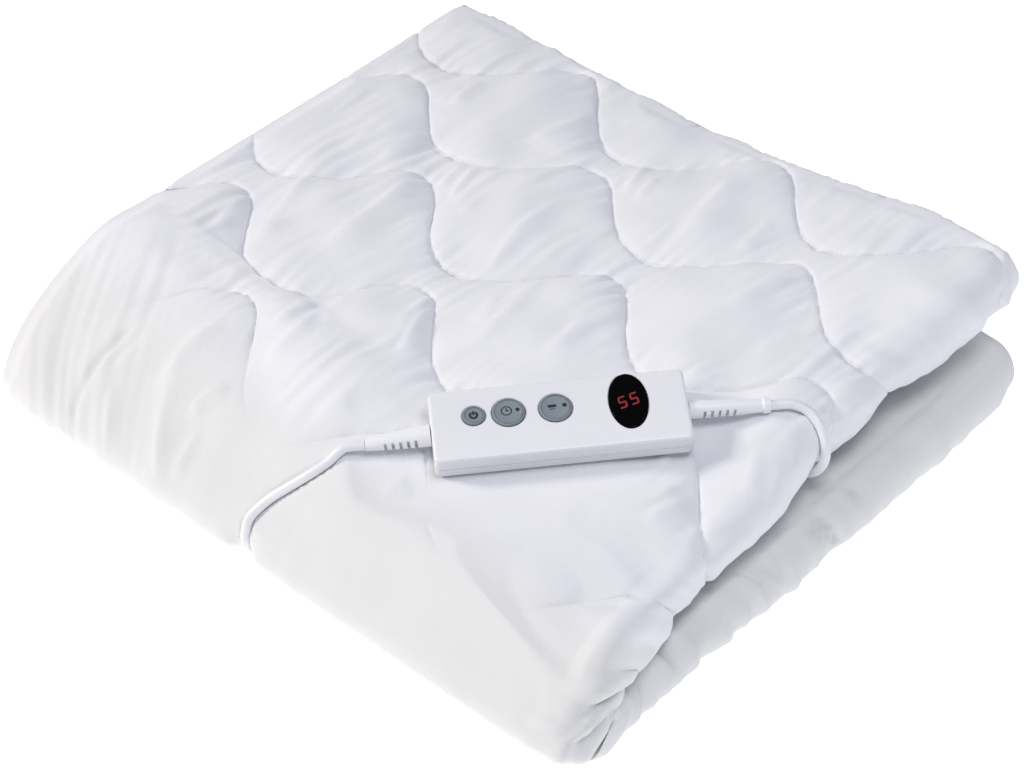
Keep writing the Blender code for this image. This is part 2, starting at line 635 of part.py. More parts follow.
def cut(target, cutter):
    cutter.hide_render = True
    cutter.display_type = "WIRE"
    modifier = target.modifiers.new(cutter.name, "BOOLEAN")
    modifier.operation = "DIFFERENCE"
    modifier.object = cutter


def make_controller():
    """Housing with its recesses, the display window and the three buttons."""
    base = bpy.data.objects.new("controller_place", None)
    bpy.context.scene.collection.objects.link(base)
    base.matrix_world = controller_matrix()
    length, width, height = CONTROLLER_SIZE
    case = rounded_block("controller_case", CONTROLLER_SIZE, CASE_CORNER, CASE_EDGE, 3)
    case.location = (0.0, 0.0, -height / 2)
    case.parent = base
    case.data.materials.append(shared_material(*WHITE_PLASTIC))
    grey = plain_material("grey_rubber", (0.33, 0.38, 0.44), 0.55)
    for name, (along, across, radius) in BUTTONS.items():
        button = oval_disc(name, radius, radius, -BUTTON_DEPTH, BUTTON_PROUD, edge=0.6 * MM)
        button.location = (along, across, 0.0)
        button.parent = base
        button.data.materials.append(grey)
        floor = -BUTTON_DEPTH - BUTTON_TRAVEL - BUTTON_GAP
        hole = radius + BUTTON_GAP
        recess = oval_disc(name + "_recess", hole, hole, floor, BUTTON_PROUD * 3)
        recess.location = (along, across, 0.0)
        recess.parent = base
        cut(case, recess)
    half_x, half_y = DISPLAY_HALF
    window = oval_disc("display_window", half_x, half_y, -DISPLAY_DEPTH, DISPLAY_PROUD, 0.5 * MM)
    window.location = (*DISPLAY_PLACE, 0.0)
    window.parent = base
    window.data.materials.append(plain_material("black_window", (0.01, 0.01, 0.012), 0.08))
    recess = oval_disc(
        "display_recess", half_x + PIECE_GAP, half_y + PIECE_GAP, -DISPLAY_DEPTH - PIECE_GAP,
        BUTTON_PROUD * 3,
    )
    recess.location = (*DISPLAY_PLACE, 0.0)
    recess.parent = base
    cut(case, recess)
    for side, profile in RELIEFS.items():
        relief = turned(f"strain_relief_{side}", ribbed(profile), RELIEF_SIDES)
        relief.matrix_world = relief_matrix(side)
        relief.data.materials.append(shared_material(*WHITE_PLASTIC))


def relief_matrix(side):
    """Place of a strain relief: its X away from the housing, its origin clear of the end face."""
    reach = CONTROLLER_SIZE[0] / 2 + PIECE_GAP + RELIEF_SETBACK
    turn = math.pi if side == "left" else 0.0
    outward = Matrix.Rotation(turn, 4, "Z") @ Matrix.Translation((reach, 0, -AXIS_DROP))
    return controller_matrix() @ outward @ Matrix.Rotation(RELIEF_DROOP[side], 4, "Y")


def relief_exit(side):
    """Where a lead leaves its relief, and two points further on in line with it."""
    reach = RELIEFS[side][-1][0] * MM + PIECE_GAP
    matrix = relief_matrix(side)
    return [np.array(matrix @ Vector((reach + past, 0, 0))) for past in LEAD_IN_LINE]


def mains_points():
    """The mains lead's own route up to the hank."""
    fold = []
    for angle in FOLD_BEND_ANGLES:
        y = FOLD_BEND_Y - FOLD_BEND * math.cos(angle)
        fold.append((GROOVE_X, y, LEAD_REST + FOLD_BEND * (1 - math.sin(angle))))
    under = [(GROOVE_X, y, LEAD_REST) for y in np.linspace(*MAINS_UNDER_Y, 8)]
    turn = []
    run_y = HANK_Y + HANK_RUN
    for angle in HANK_BEND_ANGLES:
        x = GROOVE_X + HANK_BEND * (1 - math.cos(angle))
        y = run_y - HANK_BEND * (1 - math.sin(angle))
        turn.append((x, y, LEAD_REST + HANK_RISE * angle / (math.pi / 2)))
    turn.append((HANK_ENTRY_X, run_y, LEAD_REST + HANK_RISE))
    points = [*relief_exit("left"), *MAINS_ROUTE, *fold, *under, *turn]
    return smooth_route(points, POINT_SPACING)


def stub_points():
    """Free end of the mains lead: from the top of the hank's front run down to the plug."""
    start = np.array([HANK_ENTRY_X, HANK_Y - HANK_RUN, HANK_RISE + HANK_HEIGHT - LEAD_RADIUS])
    end = np.array([PLUG_STUB_X, PLUG_Y, PLUG_AXIS])
    points = []
    for t in np.linspace(0.0, 1.0, STUB_POINTS):
        across = smooth_step(t, STUB_STRAIGHT, 1.0 - STUB_STRAIGHT)
        x = start[0] + (end[0] - start[0]) * t
        points.append((x, *(start[1:] + (end[1:] - start[1:]) * across)))
    return points


def make_leads():
    route = [*relief_exit("right"), *LEAD_ROUTE]
    lead_tube("lead_to_blanket", smooth_route(route, LEAD_SPACING))
    lead_tube("mains_lead", mains_points())


def rounded_section(width, height, corner, steps=4):
    """Outline in Y and Z of a rounded rectangle about the origin."""
    points = []
    for n, (side_y, side_z) in enumerate(((1, 1), (-1, 1), (-1, -1), (1, -1))):
        for step in range(steps + 1):
            angle = math.pi / 2 * (n + step / steps)
            points.append((
                side_y * (width / 2 - corner) + corner * math.cos(angle),
                side_z * (height / 2 - corner) + corner * math.sin(angle),
            ))
    return points


def band(name, outer, inner, width):
    """Flat band along X between two outlines."""
    mesh = bmesh.new()
    loops = [[mesh.verts.new((x, y, z)) for y, z in outline]
             for outline in (outer, inner) for x in (-width / 2, width / 2)]
    outer_left, outer_right, inner_left, inner_right = loops
    for first, second in ((outer_left, outer_right), (inner_right, inner_left),
                          (outer_right, inner_right), (inner_left, outer_left)):
        for n in range(len(first)):
            after = (n + 1) % len(first)
            mesh.faces.new((first[n], first[after], second[after], second[n]))
    bmesh.ops.recalc_face_normals(mesh, faces=mesh.faces)
    return mesh_object(name, mesh)


def make_hank():
    size = (HANK_LENGTH, HANK_WIDTH, HANK_HEIGHT)
    hank = rounded_block("mains_hank", size, HANK_CORNER, HANK_EDGE, 3)
    middle = (HANK_LEFT_X + HANK_LENGTH / 2, HANK_Y, HANK_RISE + HANK_HEIGHT / 2)
    hank.location = middle
    hank.data.materials.append(shared_material(*WHITE_LEAD))
    inner = rounded_section(
        HANK_WIDTH + 2 * PIECE_GAP, HANK_HEIGHT + 2 * PIECE_GAP, HANK_EDGE * 0.8
    )
    outer = rounded_section(
        HANK_WIDTH + 2 * (PIECE_GAP + TIE_THICKNESS),
        HANK_HEIGHT + 2 * (PIECE_GAP + TIE_THICKNESS),
        HANK_EDGE * 0.8 + TIE_THICKNESS,
    )
    tie = band("hank_tie", outer, inner, TIE_WIDTH)
    tie.location = middle
    tie.data.materials.append(plain_material("white_tie", (0.75, 0.75, 0.76), 0.6))


def make_plug():
    """The short free end of the mains lead, the plug's relief and body, and its two pins."""
    lead_tube("plug_lead", stub_points())
    profile = [(along * MM, radius * MM) for along, radius in PLUG_RELIEF]
    relief = turned("plug_relief", profile, RELIEF_SIDES)
    relief.location = (PLUG_STUB_X - PIECE_GAP, PLUG_Y, PLUG_AXIS)
    relief.rotation_euler = (0.0, 0.0, math.pi)
    face = PLUG_STUB_X - 2 * PIECE_GAP - PLUG_RELIEF[-1][0] * MM
    length = PLUG_BODY[0]
    body = rounded_block("plug_body", PLUG_BODY, PLUG_CORNER, PLUG_EDGE, 3)
    body.location = (face - length / 2, PLUG_Y, PLUG_AXIS)
    for piece in (relief, body):
        piece.data.materials.append(shared_material(*WHITE_PLASTIC))
    metal = plain_material("bright_metal", (0.78, 0.77, 0.74), 0.25, 1.0)
    for name, side in (("plug_pin_front", -1), ("plug_pin_back", 1)):
        tip = (PIN_LENGTH - PIN_TIP[0], PIN_RADIUS)
        pin = turned(name, [(0.0, PIN_RADIUS), tip, (PIN_LENGTH, PIN_TIP[1])], RELIEF_SIDES)
        pin.location = (face - length - PIECE_GAP, PLUG_Y + side * PIN_SPACING / 2, PLUG_AXIS)
        pin.rotation_euler = (0.0, 0.0, math.pi)
        pin.data.materials.append(metal)


def clear_scene():
    for item in list(bpy.data.objects):
        bpy.data.objects.remove(item, do_unlink=True)


def main():
    clear_scene()
    make_blanket()
    make_controller()
    make_leads()
    make_hank()
    make_plug()


main()
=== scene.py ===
"""Electric heated blanket, folded in eight, with its hand controller and its two leads.

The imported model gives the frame. This script dresses it: the quilted cloth with its seams, gathers
and hems, the moulded controller with its buttons and display, the leads, the tied hank and the plug.
"""

import logging
import math
from dataclasses import dataclass, field
from enum import Enum
from typing import Callable, Iterable, Sequence

import bmesh
import bpy
import numpy as np
from mathutils import Matrix, Vector

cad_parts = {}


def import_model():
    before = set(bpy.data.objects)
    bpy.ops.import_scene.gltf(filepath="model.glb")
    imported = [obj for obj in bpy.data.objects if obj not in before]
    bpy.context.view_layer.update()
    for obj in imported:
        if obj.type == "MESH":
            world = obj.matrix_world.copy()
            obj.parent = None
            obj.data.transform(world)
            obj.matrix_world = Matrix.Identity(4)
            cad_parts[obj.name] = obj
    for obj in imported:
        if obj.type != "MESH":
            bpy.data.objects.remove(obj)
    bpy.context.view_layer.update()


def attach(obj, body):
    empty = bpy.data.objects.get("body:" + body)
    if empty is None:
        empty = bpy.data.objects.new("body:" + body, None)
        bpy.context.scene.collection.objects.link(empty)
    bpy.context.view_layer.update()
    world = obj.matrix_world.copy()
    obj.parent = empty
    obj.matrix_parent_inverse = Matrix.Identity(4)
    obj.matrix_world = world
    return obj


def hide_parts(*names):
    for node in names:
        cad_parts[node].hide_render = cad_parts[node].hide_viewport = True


log = logging.getLogger("heated_blanket")

MM = 0.001
TINY = 1e-6
# faces that meet at less than this are shaded as one
SMOOTH_ANGLE = math.radians(35)
STACK_BODY = "blanket_stack"

# numbers of a colour Mix node's sockets, whose names it shares with its other modes
MIX_A, MIX_B, MIXED = 6, 7, 2

Points = np.ndarray
Colour = tuple[float, float, float, float]
Node = bpy.types.Node
Tree = bpy.types.NodeTree
Piece = bpy.types.Object


def linear(code: str) -> Colour:
    """Turns an sRGB hex colour into the linear values that a shader reads.

    Args:
        code: colour such as "#ededf1".

    Returns:
        Red, green, blue and alpha.
    """
    shares = [int(code[n:n + 2], 16) / 255 for n in (1, 3, 5)]
    low = [share / 12.92 for share in shares]
    high = [((share + 0.055) / 1.055) ** 2.4 for share in shares]
    red, green, blue = (a if s <= 0.04045 else b for s, a, b in zip(shares, low, high))
    return red, green, blue, 1.0


def add_node(tree: Tree, kind: str, settings: dict | None = None, links: dict | None = None) -> Node:
    """Adds one shader node with its settings and its incoming links.

    Args:
        tree: node tree that gets the node.
        kind: Blender's name of the node's type.
        settings: values by property name, or by socket name or number.
        links: output sockets by the name or number of the input that they go to.

    Returns:
        The new node.
    """
    node = tree.nodes.new(kind)
    for name, value in (settings or {}).items():
        if isinstance(name, str) and hasattr(node, name):
            setattr(node, name, value)
        else:
            node.inputs[name].default_value = value
    for name, output in (links or {}).items():
        tree.links.new(output, node.inputs[name])
    return node


def hermite(x: Points | float, rows: Sequence[tuple[float, float]]) -> Points:
    """Reads a smooth curve through a short table.

    Args:
        x: places to read at, in metres.
        rows: pairs of place and value, in millimetres.

    Returns:
        Values in metres.
    """
    xs, ys = np.array(rows, float).T * MM
    x = np.clip(x, xs[0], xs[-1])
    slopes = np.gradient(ys, xs)
    place = np.clip(np.searchsorted(xs, x, side="right") - 1, 0, len(xs) - 2)
    width = xs[place + 1] - xs[place]
    t = (x - xs[place]) / width
    return (
        ys[place] * (2 * t**3 - 3 * t**2 + 1)
        + slopes[place] * width * (t**3 - 2 * t**2 + t)
        + ys[place + 1] * (3 * t**2 - 2 * t**3)
        + slopes[place + 1] * width * (t**3 - t**2)
    )


def smooth_step(value: Points | float, start: float, end: float) -> Points:
    """Rises softly from 0 at start to 1 at end."""
    t = np.clip((value - start) / (end - start), 0.0, 1.0)
    return t * t * (3.0 - 2.0 * t)


def fade_in(value: Points | float, reach: tuple[float, float]) -> Points:
    """Rises softly from 0 to 1 over a reach given in millimetres; the value is in metres."""
    return smooth_step(value, reach[0] * MM, reach[1] * MM)


def smooth_route(points: Sequence, spacing: float) -> Points:
    """Lays evenly spaced points along a smooth curve.

    Args:
        points: the route's own points, in metres.
        spacing: distance from one laid point to the next.

    Returns:
        Points along the curve.
    """
    route = np.array(points, float)
    padded = np.vstack([2 * route[0] - route[1], route, 2 * route[-1] - route[-2]])
    dense = []
    for p0, p1, p2, p3 in zip(padded, padded[1:], padded[2:], padded[3:]):
        steps = [math.sqrt(np.linalg.norm(b - a)) for a, b in ((p0, p1), (p1, p2), (p2, p3))]
        knots = np.cumsum([0.0, *steps])
        for t in np.linspace(knots[1], knots[2], 24, endpoint=False):
            a = [q0 + (q1 - q0) * (t - k0) / (k1 - k0) for q0, q1, k0, k1 in
                 zip((p0, p1, p2), (p1, p2, p3), knots, knots[1:])]
            b = [a[n] + (a[n + 1] - a[n]) * (t - knots[n]) / (knots[n + 2] - knots[n]) for n in (0, 1)]
            dense.append(b[0] + (b[1] - b[0]) * (t - knots[1]) / (knots[2] - knots[1]))
    dense = np.array([*dense, route[-1]])
    gone = np.concatenate([[0.0], np.cumsum(np.linalg.norm(np.diff(dense, axis=0), axis=1))])
    places = np.linspace(0.0, gone[-1], max(2, round(gone[-1] / spacing)) + 1)
    return np.stack([np.interp(places, gone, dense[:, n]) for n in range(3)], axis=-1)


class SoftNoise:
    """Smooth seeded noise over a plane, about -1 to 1, the same in every run."""

    def __init__(self, seed: int) -> None:
        """Draws the slopes at the grid's corners."""
        turns = np.random.default_rng(seed).uniform(0.0, 2 * math.pi, (256, 256))
        self.slope_x, self.slope_y = np.cos(turns), np.sin(turns)

    def at(self, x: Points, y: Points) -> Points:
        """Reads the noise.

        Args:
            x: first coordinate, in cells of the grid.
            y: second coordinate, in cells of the grid.

        Returns:
            Noise at each point.
        """
        x, y = np.broadcast_arrays(x, y)
        i, j = np.floor(x).astype(int), np.floor(y).astype(int)
        fx, fy = x - i, y - j
        blend_x, blend_y = (f * f * f * (f * (f * 6 - 15) + 10) for f in (fx, fy))
        corner = {}
        for di in (0, 1):
            for dj in (0, 1):
                a, b = (i + di) % 256, (j + dj) % 256
                corner[di, dj] = self.slope_x[a, b] * (fx - di) + self.slope_y[a, b] * (fy - dj)
        low = corner[0, 0] + (corner[1, 0] - corner[0, 0]) * blend_x
        high = corner[0, 1] + (corner[1, 1] - corner[0, 1]) * blend_x
        return 1.6 * (low + (high - low) * blend_y)


# ---------------------------------------------------------------- finishes


class Slot(Enum):
    """Material slots of the record."""

    CLOTH = "quilted_cotton"
    HOUSING = "white_plastic"
    LEAD = "white_lead"
    RUBBER = "grey_rubber"
    WINDOW = "black_window"
    TIE = "white_tie"
    METAL = "bright_metal"


@dataclass(frozen=True)
class Finish:
    """A finish: its material's name, its colour and how it shines."""

    name: str
    colour: str
    roughness: float
    ior: float = 1.5
    metallic: float = 0.0

    def material(self) -> bpy.types.Material:
        """Makes the material, or finds the one already made."""
        made = bpy.data.materials.get(self.name)
        if made is None:
            made = bpy.data.materials.new(self.name)
            made.use_nodes = True
            shader = made.node_tree.nodes["Principled BSDF"]
            shader.inputs["Base Color"].default_value = linear(self.colour)
            for name in ("Roughness", "IOR", "Metallic"):
                shader.inputs[name].default_value = getattr(self, name.lower())
            self.dress(made.node_tree, shader)
        return made

    def dress(self, tree: Tree, shader: Node) -> None:
        """Adds the finish's own pattern to its shader; the plain finish has none."""


@dataclass(frozen=True)
class MouldedPlastic(Finish):
    """Moulded, extruded or plated skin: even, with a faint grain and slight clouds in its shine."""

    grain: float = 0.35 * MM
    grain_depth: float = 0.06
    grain_height: float = 0.1 * MM
    cloud: float = 22 * MM
    shine_spread: float = 0.05
    tint: float = 0.02

    def dress(self, tree: Tree, shader: Node) -> None:
        """Fine grain in the bump, and a very slight unevenness in colour and shine."""
        place = add_node(tree, "ShaderNodeTexCoord").outputs["Object"]
        grain = add_node(
            tree, "ShaderNodeTexNoise", {"Scale": 1 / self.grain, "Detail": 3.0}, {"Vector": place}
        )
        bump = add_node(
            tree, "ShaderNodeBump", {"Strength": self.grain_depth, "Distance": self.grain_height},
            {"Height": grain.outputs["Fac"]},
        )
        tree.links.new(bump.outputs["Normal"], shader.inputs["Normal"])
        cloud = add_node(
            tree, "ShaderNodeTexNoise", {"Scale": 1 / self.cloud, "Detail": 2.0}, {"Vector": place}
        )
        shine = add_node(
            tree, "ShaderNodeMapRange",
            {"To Min": self.roughness - self.shine_spread,
             "To Max": self.roughness + self.shine_spread},
            {"Value": cloud.outputs["Fac"]},
        )
        tree.links.new(shine.outputs["Result"], shader.inputs["Roughness"])
        darker, paler = (
            (*(value * (1 + way * self.tint) for value in linear(self.colour)[:3]), 1.0)
            for way in (-1, 1)
        )
        mixed = add_node(
            tree, "ShaderNodeMix", {"data_type": "RGBA", MIX_A: darker, MIX_B: paler},
            {"Factor": cloud.outputs["Fac"]},
        )
        tree.links.new(mixed.outputs[MIXED], shader.inputs["Base Color"])


@dataclass(frozen=True)
class QuiltedCotton(Finish):
    """Bleached cotton percale over soft filling: matt, with a fine weave, slubs and thread seams."""

    weave: float = 1.1 * MM  # real threads are 0.25 mm apart, too fine to show at this distance
    weave_height: float = 0.25 * MM
    slub: float = 7 * MM
    slub_height: float = 0.8 * MM
    stitch: float = 3.2 * MM
    stitch_share: tuple = (0.7, 0.85)
    thread: tuple = (0.55 * MM, 1.32 * MM)
    thread_height: float = 0.3 * MM
    # painted shade: a lavender grey painted along the seams, where their grooves fall into shade
    seam_painted_shade: str = "#9c9ca8"
    seam_shading: float = 0.10
    patch: float = 60 * MM
    shade: str = "#e5e5ea"
    # painted shade: the front fold's slope is painted this greyer tone, as it is lit more brightly than
    # the top
    fold_painted_shade: str = "#dfdfdd"
    fold_shade_strength: float = 0.9
    fold_from: float = 372 * MM
    fold_to: float = 430 * MM

    def dress(self, tree: Tree, shader: Node) -> None:
        """Weave and slubs in the bump, a cooler tone in patches, stitches along the seams, painted shade
        along the seams and over the front fold.
        """
        nap = {"Sheen Weight": 0.25, "Sheen Roughness": 0.5, "Specular IOR Level": 0.25}
        for name, value in nap.items():
            shader.inputs[name].default_value = value
        cloth = add_node(tree, "ShaderNodeUVMap", {"uv_map": "cloth"}).outputs["UV"]
        # the bands of a wave texture lie 0.314 / scale apart
        threads = [
            add_node(
                tree, "ShaderNodeTexWave",
                {"wave_type": "BANDS", "bands_direction": way, "Scale": 0.314 / self.weave,
                 "Distortion": 1.2, "Detail": 1.0, "Detail Scale": 2.0},
                {"Vector": cloth},
            ).outputs["Fac"]
            for way in ("X", "Y")
        ]
        crossing = add_node(tree, "ShaderNodeMath", {"operation": "MAXIMUM"}, dict(enumerate(threads)))
        slubs = add_node(
            tree, "ShaderNodeTexNoise", {"Scale": 1 / self.slub, "Detail": 4.0, "Roughness": 0.6},
            {"Vector": cloth},
        )
        near, dash = self.stitches(tree)
        sewn = add_node(tree, "ShaderNodeMath", {"operation": "MULTIPLY"}, {0: near, 1: dash})
        links = {}
        for node, strength, height in (
            (crossing, 0.12, self.weave_height), (slubs, 0.35, self.slub_height),
            (sewn, 0.5, self.thread_height),
        ):
            links["Height"] = node.outputs[0]
            settings = {"Strength": strength, "Distance": height}
            links["Normal"] = add_node(tree, "ShaderNodeBump", settings, links).outputs["Normal"]
        tree.links.new(links["Normal"], shader.inputs["Normal"])
        patches = add_node(
            tree, "ShaderNodeTexNoise", {"Scale": 1 / self.patch, "Detail": 3.0}, {"Vector": cloth}
        )
        # painted shade along the seams, darkest on the thread's line
        seam_shade_mask = add_node(
            tree, "ShaderNodeMath", {"operation": "MULTIPLY", 1: self.seam_shading}, {0: near}
        )
        # painted shade: the unquilted front fold is painted a tone greyer than the filled cells, to dim
        # its brightly lit slope
        over = add_node(tree, "ShaderNodeSeparateXYZ", None, {0: cloth}).outputs["Y"]
        fold = add_node(
            tree, "ShaderNodeMapRange",
            {"interpolation_type": "SMOOTHSTEP", "From Min": self.fold_from,
             "From Max": self.fold_to, "To Max": self.fold_shade_strength},
            {"Value": over},
        )
        links = {}
        for node, colour in ((patches, self.shade), (seam_shade_mask, self.seam_painted_shade), (fold, self.fold_painted_shade)):
            links["Factor"] = node.outputs[0]
            settings = {"data_type": "RGBA", MIX_B: linear(colour)}
            if MIX_A not in links:
                settings[MIX_A] = linear(self.colour)
            links[MIX_A] = add_node(tree, "ShaderNodeMix", settings, links).outputs[MIXED]
        tree.links.new(links[MIX_A], shader.inputs["Base Color"])

    def stitches(self, tree: Tree) -> tuple:
        """Sets up the seam's own coordinates.

        Args:
            tree: node tree of the cloth.

        Returns:
            How near a point is to a seam, and whether a stitch lies there.
        """
        seam = add_node(
            tree, "ShaderNodeAttribute", {"attribute_type": "GEOMETRY", "attribute_name": "seam"}
        )
        parts = add_node(tree, "ShaderNodeSeparateXYZ", None, {0: seam.outputs["Vector"]})
        line, along, width = (parts.outputs[n] for n in ("X", "Y", "Z"))
        # distance from the nearest whole number of seams, then in metres
        value = line
        for step in (
            {"operation": "ADD", 1: 0.5}, {"operation": "FRACT"}, {"operation": "SUBTRACT", 1: 0.5},
            {"operation": "ABSOLUTE"},
        ):
            value = add_node(tree, "ShaderNodeMath", step, {0: value}).outputs[0]
        distance = add_node(tree, "ShaderNodeMath", {"operation": "MULTIPLY"}, {0: value, 1: width})
        value = along
        for step in ({"operation": "DIVIDE", 1: self.stitch}, {"operation": "FRACT"}):
            value = add_node(tree, "ShaderNodeMath", step, {0: value}).outputs[0]
        shares = []
        for socket, (full, none) in ((distance.outputs[0], self.thread), (value, self.stitch_share)):
            settings = {
                "interpolation_type": "SMOOTHSTEP", "From Min": full, "From Max": none,
                "To Min": 1.0, "To Max": 0.0,
            }
            share = add_node(tree, "ShaderNodeMapRange", settings, {"Value": socket})
            shares.append(share.outputs["Result"])
        return tuple(shares)


@dataclass(frozen=True)
class LitSegment(Finish):
    """Red light segments behind a smoked window, dimly lit."""

    glow: float = 0.6
    cloud: float = 2 * MM

    def dress(self, tree: Tree, shader: Node) -> None:
        """The light, a little uneven from end to end of a segment."""
        place = add_node(tree, "ShaderNodeTexCoord").outputs["Object"]
        cloud = add_node(tree, "ShaderNodeTexNoise", {"Scale": 1 / self.cloud}, {"Vector": place})
        strength = add_node(
            tree, "ShaderNodeMapRange", {"To Min": self.glow * 0.6, "To Max": self.glow * 1.4},
            {"Value": cloud.outputs["Fac"]},
        )
        shader.inputs["Emission Color"].default_value = linear(self.colour)
        tree.links.new(strength.outputs["Result"], shader.inputs["Emission Strength"])


# Cotton percale bleached white: slightly warm where it is lit and lavender in its folds.
COTTON = QuiltedCotton("bleached_cotton_percale", "#efeff0", 0.92, ior=1.45)
# Satin ABS, moulded: white with a faint violet cast and a soft highlight.
HOUSING = MouldedPlastic("moulded_white_abs", "#e9e9ec", 0.36, ior=1.53)
# Extruded PVC sheath: smoother than the housing, with a long soft highlight.
SHEATH = MouldedPlastic("extruded_white_pvc", "#eaeaee", 0.33, ior=1.53, grain=1.2 * MM)
# Soft PVC sleeve round a lead's end: a little duller than the housing.
SLEEVE = MouldedPlastic("soft_white_pvc", "#efeff2", 0.45, ior=1.53, grain=0.8 * MM)
# Silicone rubber key: matt blue-grey.
RUBBER = MouldedPlastic("grey_silicone_rubber", "#828b92", 0.58, ior=1.43, tint=0.06)
# Screen-printed ink on the keys: near black and matt.
INK = MouldedPlastic("black_screen_ink", "#1c2126", 0.55, ior=1.5)
# Acrylic window over the display, smoked nearly black, with a coat that keeps its reflections weak.
WINDOW = MouldedPlastic("smoked_acrylic", "#040405", 0.09, ior=1.14, grain_depth=0.0, tint=0.2)
# Light segments behind the window, red and dim.
SEGMENTS = LitSegment("red_light_segments", "#8f1a22", 0.4, glow=0.14)
# Nylon strap, slightly off white.
STRAP = MouldedPlastic("nylon_strap", "#dcdcdf", 0.55, ior=1.53, grain=0.9 * MM, grain_depth=0.2)
# Nickel-plated brass pins.
NICKEL = MouldedPlastic("nickel_plated_brass", "#d8d6cf", 0.22, ior=1.5, metallic=1.0, grain=0.5 * MM)


# ---------------------------------------------------------------- bench


def deselect_all() -> None:
    """Leaves object mode clean: nothing selected."""
    if bpy.context.mode != "OBJECT":
        bpy.ops.object.mode_set(mode="OBJECT")
    bpy.ops.object.select_all(action="DESELECT")


def rises(limit: float, axis: int = 2) -> Callable:
    """Makes a test for edges.

    Args:
        limit: how far apart an edge's ends have to be along the axis.
        axis: 0, 1 or 2 for X, Y or Z.

    Returns:
        The test: takes an edge, says whether it reaches further than the limit.
    """
    return lambda edge: abs(edge.verts[0].co[axis] - edge.verts[1].co[axis]) > limit


def lies_at(height: float) -> Callable:
    """Makes a test that picks the edges whose two ends are at a height or above it."""
    return lambda edge: all(vert.co.z > height - TINY for vert in edge.verts)


